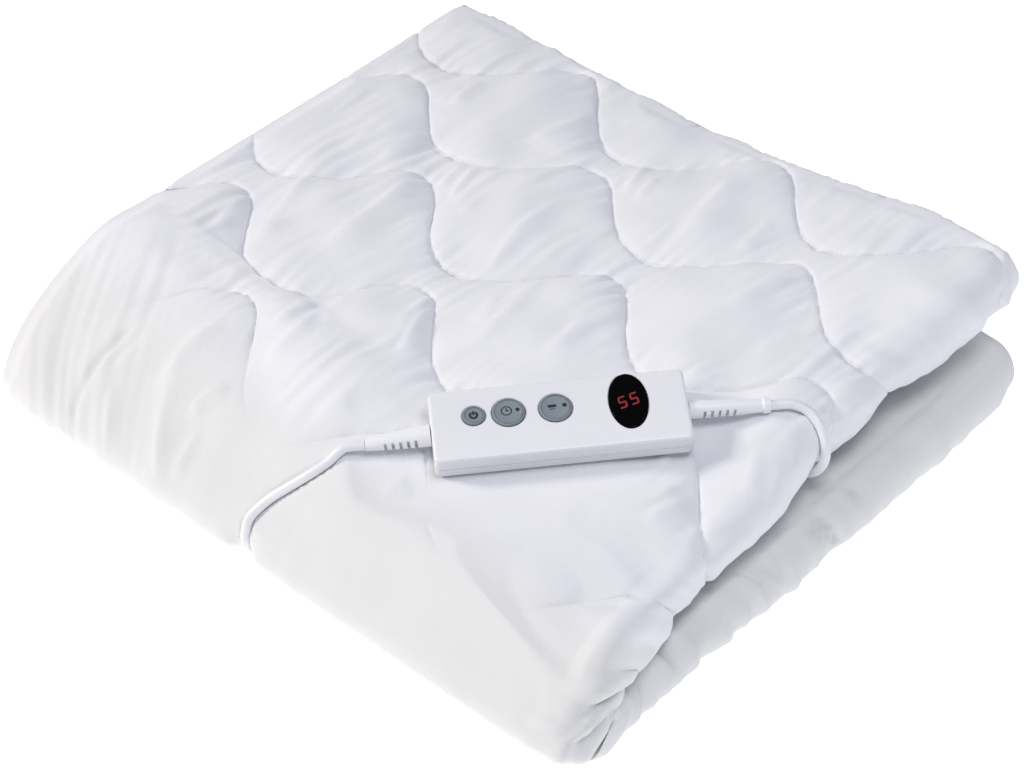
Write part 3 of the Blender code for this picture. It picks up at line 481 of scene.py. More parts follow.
class Bench:
    """One rigid piece while it is modelled: a primitive shaped in edit mode, then put in place."""

    def __init__(self, name: str, add: Callable, **settings: object) -> None:
        """Adds the primitive.

        Args:
            name: name of the piece.
            add: Blender's operator that adds the primitive.
            settings: the operator's own settings.
        """
        deselect_all()
        add(**settings)
        self.piece = bpy.context.active_object
        self.piece.name = name
        self.piece.data.name = name
        bpy.ops.object.transform_apply(location=True, rotation=True, scale=True)

    @classmethod
    def turned(cls, name: str, profile: Iterable[tuple[float, float]], steps: int = 48) -> "Bench":
        """Turns a closed round piece about X.

        Args:
            name: name of the piece.
            profile: distances along X and radii, in metres.
            steps: sides all round.

        Returns:
            The piece on its bench, its normals pointing outwards.
        """
        rows = list(profile)
        bench = cls(name, bpy.ops.mesh.primitive_plane_add, size=1.0)
        outline = bmesh.new()
        ends = [(rows[0][0], 0.0), *rows, (rows[-1][0], 0.0)]
        chain = [outline.verts.new((along, 0.0, radius)) for along, radius in ends]
        for pair in zip(chain, chain[1:]):
            outline.edges.new(pair)
        outline.to_mesh(bench.piece.data)
        outline.free()
        bench.shape(
            "EDGE", lambda edge: True, bpy.ops.mesh.spin, steps=steps, angle=2 * math.pi,
            center=(0.0, 0.0, 0.0), axis=(1.0, 0.0, 0.0),
        )
        bench.shape("EDGE", lambda edge: True, bpy.ops.mesh.remove_doubles, threshold=TINY)
        return bench.shape(
            "FACE", lambda face: True, bpy.ops.mesh.normals_make_consistent, inside=False
        )

    @classmethod
    def box(
        cls, name: str, size: Sequence[float], middle: Sequence[float] = (0.0, 0.0, 0.0)
    ) -> "Bench":
        """Adds a plain block by its size and its middle."""
        add = bpy.ops.mesh.primitive_cube_add
        return cls(name, add, size=1.0, location=tuple(middle), scale=tuple(size))

    @classmethod
    def disc(
        cls, name: str, half: Sequence[float], low: float, high: float, sides: int = 96
    ) -> "Bench":
        """Adds an upright round or oval plate by its half sizes and the heights of its faces."""
        return cls(
            name, bpy.ops.mesh.primitive_cylinder_add, vertices=sides, radius=1.0,
            depth=high - low, location=(0.0, 0.0, (low + high) / 2), scale=(*half, 1.0),
        )

    @classmethod
    def block(
        cls, name: str, size: Sequence[float], corner: float, edge: float, middle: Sequence[float]
    ) -> "Bench":
        """Adds a block whose upright corners are rounded first and then its other edges.

        Args:
            name: name of the piece.
            size: length, width and height.
            corner: radius of the upright corners.
            edge: radius of the upper and lower edges.
            middle: where its middle is.

        Returns:
            The piece on its bench.
        """
        bench = cls.box(name, size, middle).bevel(rises(size[2] / 2), corner, 7)
        level = lambda e: not rises(TINY)(e) and any(abs(f.normal.z) > 0.9 for f in e.link_faces)
        return bench.bevel(level, edge, 5)

    def bevel(self, test: Callable, offset: float, segments: int) -> "Bench":
        """Rounds the edges that a test picks."""
        edit = bpy.ops.mesh.bevel
        return self.shape("EDGE", test, edit, offset=offset, segments=segments, affect="EDGES")

    def take_up(self) -> None:
        """Makes the piece the only one selected, and the active one."""
        deselect_all()
        self.piece.select_set(True)
        bpy.context.view_layer.objects.active = self.piece

    def shape(self, kind: str, test: Callable, edit: Callable, **settings: object) -> "Bench":
        """Selects some faces or edges by a test and runs one operator on them in edit mode.

        Args:
            kind: "FACE" or "EDGE".
            test: takes a face or an edge, says whether it is selected.
            edit: Blender's operator.
            settings: the operator's own settings.

        Returns:
            This bench.
        """
        self.take_up()
        bpy.ops.object.mode_set(mode="EDIT")
        bpy.ops.mesh.select_mode(type=kind)
        bpy.ops.mesh.select_all(action="DESELECT")
        mesh = bmesh.from_edit_mesh(self.piece.data)
        for part in mesh.faces if kind == "FACE" else mesh.edges:
            part.select_set(bool(test(part)))
        mesh.select_flush_mode()
        bmesh.update_edit_mesh(self.piece.data)
        edit(**settings)
        bpy.ops.object.mode_set(mode="OBJECT")
        return self

    def modify(self, kind: str, **settings: object) -> "Bench":
        """Adds one modifier with its settings and applies it."""
        self.take_up()
        modifier = self.piece.modifiers.new(kind.lower(), kind)
        for name, value in settings.items():
            setattr(modifier, name, value)
        bpy.ops.object.modifier_apply(modifier=modifier.name)
        return self

    def cut(self, cutter: "Bench") -> "Bench":
        """Cuts another bench's piece out of this one and removes it."""
        self.modify("BOOLEAN", operation="DIFFERENCE", object=cutter.piece, solver="EXACT")
        bpy.data.objects.remove(cutter.piece, do_unlink=True)
        return self

    def join(self, *others: "Bench") -> "Bench":
        """Joins other benches' pieces into this one."""
        deselect_all()
        for bench in (*others, self):
            bench.piece.select_set(True)
        bpy.context.view_layer.objects.active = self.piece
        bpy.ops.object.join()
        return self

    def moved(self, matrix: Matrix) -> "Bench":
        """Moves the piece's mesh; the object stays at the origin."""
        self.piece.data.transform(matrix)
        return self

    def finish(self, finish: Finish, slot: Slot, body: str = STACK_BODY) -> Piece:
        """Shades the piece, gives it its finish and lets it ride on its body.

        Args:
            finish: the piece's finish.
            slot: material slot of the record; not used.
            body: CAD body that carries the piece.

        Returns:
            The finished object.
        """
        self.take_up()
        bpy.ops.object.shade_smooth_by_angle(angle=SMOOTH_ANGLE)
        self.piece.data.materials.clear()
        self.piece.data.materials.append(finish.material())
        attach(self.piece, body)
        return self.piece


# ---------------------------------------------------------------- studio


@dataclass
class Studio:
    """Camera at the photograph's angle, pale floor and plain soft light."""

    camera_at: tuple = (0.81945, -0.95109, 1.07692)
    looking: tuple = (-0.4996, 0.5747, -0.6481)
    lens: float = 92.2
    sensor: float = 36.0
    floor_half: float = 6.0
    world_light: float = 0.41
    world_colour: str = "#eaeeff"
    floor_colour: str = "#ffffff"
    floor_glow: float = 0.60
    # name, place, size, power and colour: a key from the front left and one high above
    lamps: tuple = (
        ("key_light", (-1.90, -1.50, 1.50), 0.6, 42.0, "#fff8ee"),
        ("high_light", (0.45, -0.15, 1.25), 0.5, 5.8, "#f9fafc"),
    )

    def set_camera(self) -> None:
        """Sets up the camera."""
        data = bpy.data.cameras.new("camera")
        data.lens, data.sensor_width, data.clip_end = self.lens, self.sensor, 50.0
        camera = bpy.data.objects.new("camera", data)
        camera.location = self.camera_at
        camera.rotation_euler = Vector(self.looking).to_track_quat("-Z", "Y").to_euler()
        bpy.context.scene.collection.objects.link(camera)
        bpy.context.scene.camera = camera

    def set_light(self) -> None:
        """Sets up the floor, the even light all round and the soft lamps."""
        bpy.context.scene.view_settings.view_transform = "Standard"
        world = bpy.data.worlds.new("soft_room")
        world.use_nodes = True
        background = world.node_tree.nodes["Background"]
        background.inputs["Color"].default_value = linear(self.world_colour)
        background.inputs["Strength"].default_value = self.world_light
        bpy.context.scene.world = world
        for name, place, size, power, colour in self.lamps:
            light = bpy.data.lights.new(name, "AREA")
            light.energy, light.size = power, size
            light.color = linear(colour)[:3]
            lamp = bpy.data.objects.new(name, light)
            lamp.location = place
            lamp.rotation_euler = (-Vector(place)).to_track_quat("-Z", "Y").to_euler()
            bpy.context.scene.collection.objects.link(lamp)
        deselect_all()
        bpy.ops.mesh.primitive_plane_add(size=2 * self.floor_half)
        floor = bpy.context.active_object
        floor.name = "floor"
        paper = Finish("white_paper_floor", self.floor_colour, 0.9).material()
        shader = paper.node_tree.nodes["Principled BSDF"]
        shader.inputs["Emission Color"].default_value = linear(self.floor_colour)
        shader.inputs["Emission Strength"].default_value = self.floor_glow
        floor.data.materials.append(paper)


# ---------------------------------------------------------------- controller's place


@dataclass
class ControllerPlace:
    """Where the controller lies: its X along it, its Z out of its upper face."""

    size: tuple = (148 * MM, 49 * MM, 16 * MM)
    top: tuple = (101 * MM, -83 * MM, 96.5 * MM)
    heading: float = math.radians(47.0)
    pitch: float = math.radians(2.2)
    tilt: float = math.radians(13.5)
    relief_setback: float = 0.9 * MM
    droop: dict = field(default_factory=lambda: {"left": math.radians(4.5), "right": math.radians(4.0)})
    relief_reach: dict = field(default_factory=lambda: {"left": 37 * MM, "right": 47 * MM})
    lead_in_line: tuple = (0.0, 6 * MM, 12 * MM)
    piece_gap: float = 0.3 * MM

    @property
    def matrix(self) -> Matrix:
        """Place of the controller, its origin in the middle of its upper face."""
        turn = Matrix.Rotation(self.heading, 4, "Z")
        pitch = Matrix.Rotation(-self.pitch, 4, "Y")
        tilt = Matrix.Rotation(self.tilt, 4, "X")
        return Matrix.Translation(self.top) @ turn @ pitch @ tilt

    def relief(self, side: str) -> Matrix:
        """Place of the strain relief at one end: its X away from the housing."""
        reach = self.size[0] / 2 + self.relief_setback
        turn = Matrix.Rotation(math.pi if side == "left" else 0.0, 4, "Z")
        outward = turn @ Matrix.Translation((reach, 0, -self.size[2] / 2))
        return self.matrix @ outward @ Matrix.Rotation(self.droop[side], 4, "Y")

    def exit(self, side: str) -> list[Points]:
        """Where a lead leaves its relief, and two points further on in line with it."""
        reach = self.relief_reach[side] + self.piece_gap
        matrix = self.relief(side)
        return [np.array(matrix @ Vector((reach + past, 0, 0))) for past in self.lead_in_line]


# ---------------------------------------------------------------- controller


# how far the ends of a printed or lit stroke are rounded, as a share of its width
STROKE_ROUNDING = 0.45


class Mark(Enum):
    """What is printed on a key."""

    POWER = "power"
    TIMER = "timer"
    HEAT = "heat"


@dataclass
class Key:
    """One sprung rubber key with its printed mark, standing in its recess."""

    node: str
    body: str
    along: float
    across: float
    radius: float
    mark: Mark
    gap: float = 0.35 * MM
    proud: float = 0.9 * MM
    depth: float = 2 * MM
    travel: float = 0.8 * MM
    rim: float = 0.9 * MM
    ledge: float = 1 * MM
    dish: float = 0.15 * MM
    dish_edge: float = 0.5 * MM
    ink: float = 0.05 * MM

    def floor(self) -> float:
        """Height of the recess's floor, below the key at the end of its travel."""
        return -self.depth - self.travel - self.gap

    def face(self) -> float:
        """Height of the dished face that carries the mark."""
        return self.proud - self.dish

    def cap(self) -> Bench:
        """The key itself: a round cap with a rounded rim and a shallow dish."""
        cap = Bench.disc(
            self.node + "_cap", (self.radius, self.radius), -self.depth, self.proud, sides=64
        )
        cap.bevel(lies_at(self.proud), self.rim, 5)
        top = lambda face: face.normal.z > 0.9 and face.calc_center_median().z > 0
        middle = lambda face: top(face) and len(face.verts) > 8
        inset = bpy.ops.mesh.inset
        cap.shape("FACE", top, inset, thickness=self.ledge, depth=0.0)
        return cap.shape("FACE", middle, inset, thickness=self.dish_edge, depth=-self.dish)

    def stroke(self, x: float, y: float, length: float, width: float, turn: float = 0.0) -> Bench:
        """One straight printed stroke with rounded ends."""
        stroke = Bench.box("stroke", (length, width, self.ink))
        stroke.bevel(rises(self.ink / 2), width * STROKE_ROUNDING, 4)
        place = Matrix.Translation((x, y, self.face() + self.ink / 2))
        return stroke.moved(place @ Matrix.Rotation(turn, 4, "Z"))

    def dot(self, x: float, y: float, radius: float) -> Bench:
        """One printed dot."""
        dot = Bench.disc("dot", (radius, radius), self.face(), self.face() + self.ink, sides=32)
        return dot.moved(Matrix.Translation((x, y, 0.0)))

    def ring(self, x: float, y: float, radius: float, width: float, open_half: float) -> Bench:
        """One printed ring.

        Args:
            x: place along the key.
            y: place across the key.
            radius: radius of its middle line.
            width: width of its line.
            open_half: half the width of the gap at its back, 0 for none.

        Returns:
            The ring on the key's face.
        """
        ring = Bench(
            "ring", bpy.ops.mesh.primitive_torus_add, major_radius=radius,
            minor_radius=width / 2, major_segments=48, minor_segments=8,
        )
        ring.moved(Matrix.Diagonal((1.0, 1.0, 2 * self.ink / width, 1.0)))
        if open_half:
            ring.shape(
                "FACE",
                lambda f: f.calc_center_median().y > 0 and abs(f.calc_center_median().x) < open_half,
                bpy.ops.mesh.delete, type="FACE",
            )
            ring.shape("EDGE", lambda edge: True, bpy.ops.mesh.fill_holes, sides=0)
        return ring.moved(Matrix.Translation((x, y, self.face())))

    def printed(self) -> Bench:
        """The key's mark: a power sign, a clock face or a bar, the last two with a small dot."""
        if self.mark is Mark.POWER:
            mark = self.ring(0.0, -0.2 * MM, 2 * MM, 1.5 * MM, 1 * MM)
            return mark.join(self.stroke(0.0, 1.2 * MM, 3 * MM, 1.3 * MM, math.pi / 2))
        if self.mark is Mark.TIMER:
            mark = self.ring(-1.1 * MM, 0.6 * MM, 2.9 * MM, 0.75 * MM, 0.0)
            hands = (
                self.stroke(-1.1 * MM, 1.5 * MM, 2 * MM, 0.7 * MM, math.pi / 2),
                self.stroke(-0.4 * MM, 0.6 * MM, 1.6 * MM, 0.7 * MM),
            )
            return mark.join(*hands, self.dot(5.3 * MM, 0.9 * MM, 1.25 * MM))
        mark = self.stroke(-1.9 * MM, 0.9 * MM, 5.2 * MM, 2 * MM)
        wave = self.stroke(-1.9 * MM, -1.2 * MM, 3.4 * MM, 0.6 * MM)
        return mark.join(wave, self.dot(5.3 * MM, 0.9 * MM, 1.35 * MM))

    def build(self, place: Matrix) -> None:
        """Makes the key and its mark and lets both ride on the key's own body."""
        here = place @ Matrix.Translation((self.along, self.across, 0.0))
        cap = self.cap().moved(here).finish(RUBBER, Slot.RUBBER, self.body)
        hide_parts(self.node)
        mark = self.printed().moved(here).finish(INK, Slot.WINDOW, self.body)
        mark.name = mark.data.name = "mark_" + self.mark.value
        log.info("%s with its %s mark", cap.name, self.mark.value)


@dataclass
class Display:
    """Oval smoked window and the two lit figures behind it."""

    place: tuple = (40 * MM, 5 * MM)
    half: tuple = (11.3 * MM, 19 * MM)
    gap: float = 0.3 * MM
    depth: float = 1.6 * MM
    proud: float = 0.3 * MM
    rim: float = 0.5 * MM
    figures: int = 2
    figure: tuple = (4.8 * MM, 8.2 * MM)
    figure_pitch: float = 7.2 * MM
    stroke: float = 1.05 * MM
    slant: float = 0.16
    turn: float = math.radians(16.0)
    film: float = 0.04 * MM

    def strokes(self) -> list[tuple[float, float, bool]]:
        """Strokes of a 5: middle along, middle across, and whether it stands upright."""
        side, top = (value / 2 - self.stroke / 2 for value in self.figure)
        return [
            (0.0, top, False), (-side, top / 2, True), (0.0, 0.0, False), (side, -top / 2, True),
            (0.0, -top, False),
        ]

    def window(self) -> Bench:
        """The window: an oval plate with a rounded rim."""
        window = Bench.disc("smoked_window", self.half, -self.depth, self.proud)
        return window.bevel(lies_at(self.proud), self.rim, 5)

    def lit(self) -> Bench:
        """The lit figures, slanted and set a little askew as they show through the window."""
        made = []
        start = -(self.figures - 1) / 2 * self.figure_pitch
        for n in range(self.figures):
            for x, y, upright in self.strokes():
                length = (self.figure[1] / 2 if upright else self.figure[0]) - 0.5 * self.stroke
                bar = Bench.box("segment", (length, self.stroke, self.film))
                bar.bevel(rises(self.film / 2), self.stroke * STROKE_ROUNDING, 1)
                quarter = Matrix.Rotation(math.pi / 2 if upright else 0.0, 4, "Z")
                at = Matrix.Translation((start + n * self.figure_pitch + x, y, 0.0))
                made.append(bar.moved(at @ quarter))
        lean = Matrix.Identity(4)
        lean[0][1] = self.slant
        level = Matrix.Translation((0.0, 0.0, self.proud + self.film))
        first, *others = made
        return first.join(*others).moved(level @ Matrix.Rotation(self.turn, 4, "Z") @ lean)

    def build(self, place: Matrix) -> None:
        """Makes the window and its figures."""
        here = place @ Matrix.Translation((*self.place, 0.0))
        window = self.window().moved(here).finish(WINDOW, Slot.WINDOW)
        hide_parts("display_window")
        lit = self.lit().moved(here).finish(SEGMENTS, Slot.WINDOW)
        lit.name = lit.data.name = "lit_figures"
        log.info("display with %d figures", self.figures)


@dataclass
class StrainRelief:
    """Tapered flexible sleeve at one end of the housing: smooth on top, slotted at both sides."""

    side: str
    profile: tuple
    root: float = 0.75 * MM
    slots: int = 5
    slot_start: float = 8 * MM
    slot_pitch: float = 4.4 * MM
    slot_width: float = 1.7 * MM
    slot_half: float = 0.62
    web: float = 0.42
    soft: float = 0.35 * MM

    def sleeve(self) -> Bench:
        """The turned sleeve; its root stands in the housing's wall and its mouth is rounded."""
        rows = [(along * MM, radius * MM) for along, radius in self.profile]
        root, mouth = rows[0][1], rows[-1]
        start = [(-self.root, root - self.soft), (self.soft, root)]
        end = [(mouth[0] - self.soft, mouth[1]), (mouth[0], mouth[1] - self.soft)]
        return Bench.turned("relief_" + self.side, [*start, *rows[1:-1], *end])

    def radius_at(self, along: float) -> float:
        """Radius of the sleeve at one distance from the housing."""
        places, radii = np.array(self.profile).T * MM
        return float(np.interp(along, places, radii))

    def slotted(self, sleeve: Bench) -> Bench:
        """Cuts the slots, a row in each side, and leaves a web and smooth spines."""
        boxes = []
        for n in range(self.slots):
            along = self.slot_start + n * self.slot_pitch
            radius = self.radius_at(along)
            reach = radius * (1.3 - self.web)
            for side in (-1, 1):
                middle = (along, side * (radius * self.web + reach / 2), 0.0)
                size = (self.slot_width, reach, 2 * radius * self.slot_half)
                boxes.append(Bench.box("slot", size, middle))
        first, *others = boxes
        return sleeve.cut(first.join(*others))

    def build(self, place: ControllerPlace) -> None:
        """Makes the relief in its place."""
        piece = self.slotted(self.sleeve()).moved(place.relief(self.side))
        relief = piece.finish(SLEEVE, Slot.HOUSING)
        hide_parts("strain_relief_" + self.side)
        log.info("%s with %d slots a side", relief.name, self.slots)


@dataclass
class Controller:
    """Hand controller: moulded housing, three keys, the display and both strain reliefs."""

    place: ControllerPlace
    corner: float = 4 * MM
    edge: float = 1.9 * MM
    rim: float = 0.45 * MM
    cut_above: float = 1 * MM
    parting: float = -9 * MM
    parting_width: float = 0.7 * MM
    parting_depth: float = 0.3 * MM
    keys: tuple = (
        Key("button_power", "power_button", -49 * MM, 5 * MM, 6.6 * MM, Mark.POWER),
        Key("button_timer", "timer_button", -29 * MM, 5 * MM, 9.6 * MM, Mark.TIMER),
        Key("button_heat", "heat_button", -2 * MM, 5 * MM, 9.6 * MM, Mark.HEAT),
    )
    display: Display = field(default_factory=Display)
    reliefs: tuple = (
        StrainRelief("left", ((0.0, 6.4), (6.0, 6.2), (28.0, 4.6), (37.0, 3.7))),
        StrainRelief("right", (
            (0.0, 5.4), (8.0, 5.2), (24.0, 4.9), (42.0, 3.9), (43.0, 4.7), (47.0, 4.5),
        )),
    )

    def recess(self, at: tuple, half: tuple, floor: float) -> Bench:
        """Cutter of one oval recess: straight from its floor to its rim, flared above.

        Args:
            at: place along and across the housing.
            half: half its length and half its width at the bore.
            floor: height of its floor.

        Returns:
            The cutter.
        """
        cutter = Bench.disc("recess", half, floor, -self.rim)
        top = lambda face: face.normal.z > 0.9
        rise = self.rim + self.cut_above
        cutter.shape(
            "FACE", top, bpy.ops.mesh.extrude_region_move,
            TRANSFORM_OT_translate={"value": (0.0, 0.0, rise)},
        )
        flare = 1.0 + rise / (sum(half) / 2)
        cutter.shape(
            "FACE", top, bpy.ops.transform.resize, value=(flare, flare, 1.0),
            center_override=(0.0, 0.0, 0.0),
        )
        return cutter.moved(Matrix.Translation((*at, 0.0)))

    def housing(self) -> Piece:
        """The moulded housing with its recesses and the line where its two halves meet."""
        size = self.place.size
        case = Bench.block("moulded_housing", size, self.corner, self.edge, (0.0, 0.0, -size[2] / 2))
        show = self.display
        half = tuple(value + show.gap for value in show.half)
        window = self.recess(show.place, half, -show.depth - show.gap)
        keys = [
            self.recess((key.along, key.across), (key.radius + key.gap,) * 2, key.floor())
            for key in self.keys
        ]
        case.cut(window.join(*keys))
        low, high = (self.parting + side * self.parting_width / 2 for side in (-1, 1))
        for level in (low, high):
            case.shape(
                "FACE", lambda face: True, bpy.ops.mesh.bisect,
                plane_co=(0.0, 0.0, level), plane_no=(0.0, 0.0, 1.0),
            )
        case.shape(
            "FACE", lambda f: low < f.calc_center_median().z < high and abs(f.normal.z) < 0.1,
            bpy.ops.mesh.inset, thickness=self.parting_width * 0.2, depth=-self.parting_depth,
        )
        housing = case.moved(self.place.matrix).finish(HOUSING, Slot.HOUSING)
        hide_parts("controller_case")
        return housing

    def build(self) -> None:
        """Makes the whole controller."""
        log.info("housing: %d faces", len(self.housing().data.polygons))
        for key in self.keys:
            key.build(self.place.matrix)
        self.display.build(self.place.matrix)
        for relief in self.reliefs:
            relief.build(self.place)


# ---------------------------------------------------------------- hank tie and plug


@dataclass
class HankStrap:
    """Flat strap round the hank, with its small buckle on top."""

    middle: tuple = (75 * MM, 237.5 * MM, 10.2 * MM)
    inner: tuple = (54.6 * MM, 18.6 * MM)
    width: float = 9 * MM
    thickness: float = 0.9 * MM
    corner: float = 4.1 * MM
    worn_edge: float = 0.2 * MM
    buckle: tuple = (11 * MM, 7 * MM, 3.4 * MM)
    buckle_back: float = 4 * MM
    buckle_rounding: tuple = (1.2 * MM, 0.6 * MM)
    ribs: int = 3
    rib_pitch: float = 1.8 * MM
    notch: tuple = (7.7 * MM, 0.7 * MM, 0.8 * MM)

    def build(self) -> list[Piece]:
        """Makes the strap as one closed band and the buckle on it."""
        deep, high = (value + 2 * self.thickness for value in self.inner)
        band = Bench.box("hank_strap", (self.width, deep, high))
        band.bevel(rises(self.width / 2, axis=0), self.corner, 6)
        band.shape("FACE", lambda f: abs(f.normal.x) > 0.9, bpy.ops.mesh.delete, type="FACE")
        band.modify("SOLIDIFY", thickness=self.thickness, offset=-1.0, use_even_offset=True)
        band.modify("BEVEL", width=self.worn_edge, segments=2, limit_method="ANGLE")
        strap = band.moved(Matrix.Translation(self.middle)).finish(STRAP, Slot.TIE)
        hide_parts("hank_tie")
        top = self.middle[2] + high / 2
        x, y = self.middle[0], self.middle[1] + self.buckle_back
        place = (x, y, top + self.buckle[2] / 2)
        block = Bench.block("strap_buckle", self.buckle, *self.buckle_rounding, place)
        for n in range(self.ribs):
            step = (n - (self.ribs - 1) / 2) * self.rib_pitch
            block.cut(Bench.box("notch", self.notch, (x, y + step, top + self.buckle[2])))
        buckle = block.finish(STRAP, Slot.TIE)
        log.info("strap and buckle")
        return [strap, buckle]


@dataclass
class MainsPlug:
    """Flat two-pin mains plug with its relief, lying behind the blanket."""

    end: tuple = (-62.3 * MM, 237 * MM, 6.8 * MM)
    relief_profile: tuple = ((0.0, 3.9), (1.5, 4.2), (22.0, 6.2))
    body: tuple = (34 * MM, 35 * MM, 13.6 * MM)
    corner: float = 8 * MM
    edge: float = 3 * MM
    gap: float = 0.3 * MM
    ring_pitch: float = 3.2 * MM
    ring_depth: float = 0.55 * MM
    ring_span: tuple = (2 * MM, 19 * MM)
    grip: int = 4
    grip_pitch: float = 3.6 * MM
    grip_radius: float = 0.9 * MM
    grip_share: float = 0.62
    pin_length: float = 19 * MM
    pin_radius: float = 2 * MM
    pin_spacing: float = 18.6 * MM
    pin_tip: tuple = (1.5 * MM, 1.1 * MM)
    sleeve: float = 10 * MM
    sleeve_inset: float = 0.12 * MM

    def backwards(self, x: float, y: float) -> Matrix:
        """Place at x and y on the plug's own axis, turned so that its X points left."""
        return Matrix.Translation((x, y, self.end[2])) @ Matrix.Rotation(math.pi, 4, "Z")

    def relief(self) -> Piece:
        """The tapered relief with rounded rings."""
        places, radii = np.array(self.relief_profile).T * MM
        rows = []
        for along in np.linspace(0.0, places[-1], 67):
            radius = float(np.interp(along, places, radii))
            ring = math.cos(2 * math.pi * along / self.ring_pitch)
            ringed = self.ring_span[0] < along < self.ring_span[1] and ring < -0.2
            rows.append((float(along), radius - (self.ring_depth if ringed else 0.0)))
        piece = Bench.turned("plug_sleeve", rows).moved(self.backwards(*self.end[:2]))
        relief = piece.finish(SLEEVE, Slot.HOUSING)
        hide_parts("plug_relief")
        return relief

    def build(self) -> list[Piece]:
        """Makes the relief, the body with its grip, and both pins with their sleeves."""
        made = [self.relief()]
        near = self.end[0] - self.relief_profile[-1][0] * MM - self.gap
        length, width, height = self.body
        middle = (near - length / 2, self.end[1], self.end[2])
        block = Bench.block("plug_shell", self.body, self.corner, self.edge, middle)
        for n in range(self.grip):
            x = middle[0] + (n - (self.grip - 1) / 2) * self.grip_pitch
            for side in (-1, 1):
                reach = height * self.grip_share / 2
                cutter = Bench.disc("grip", (self.grip_radius,) * 2, -reach, reach, sides=24)
                y = middle[1] + side * width / 2
                block.cut(cutter.moved(Matrix.Translation((x, y, middle[2]))))
        shell = block.finish(HOUSING, Slot.HOUSING)
        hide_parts("plug_body")
        made.append(shell)
        face = near - length - self.gap
        for name, side in (("front", -1), ("back", 1)):
            place = self.backwards(face, self.end[1] + side * self.pin_spacing / 2)
            tip, full = self.pin_tip, self.pin_radius
            thin = full - self.sleeve_inset
            rows = [
                (0.0, thin), (self.sleeve, thin), (self.sleeve, full), (self.pin_length - tip[0], full),
                (self.pin_length - tip[0] * 0.4, (full + tip[1]) / 2 + 0.2 * MM),
                (self.pin_length, tip[1] * 0.6),
            ]
            pin = Bench.turned("pin_" + name, rows).moved(place)
            made.append(pin.finish(NICKEL, Slot.METAL))
            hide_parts("plug_pin_" + name)
            rows = [(0.0, full), (self.sleeve - 0.1 * MM, full)]
            guard = Bench.turned("pin_guard_" + name, rows).moved(place)
            made.append(guard.finish(SLEEVE, Slot.HOUSING))
        log.info("plug: %d pieces", len(made))
        return made


# ---------------------------------------------------------------- leads


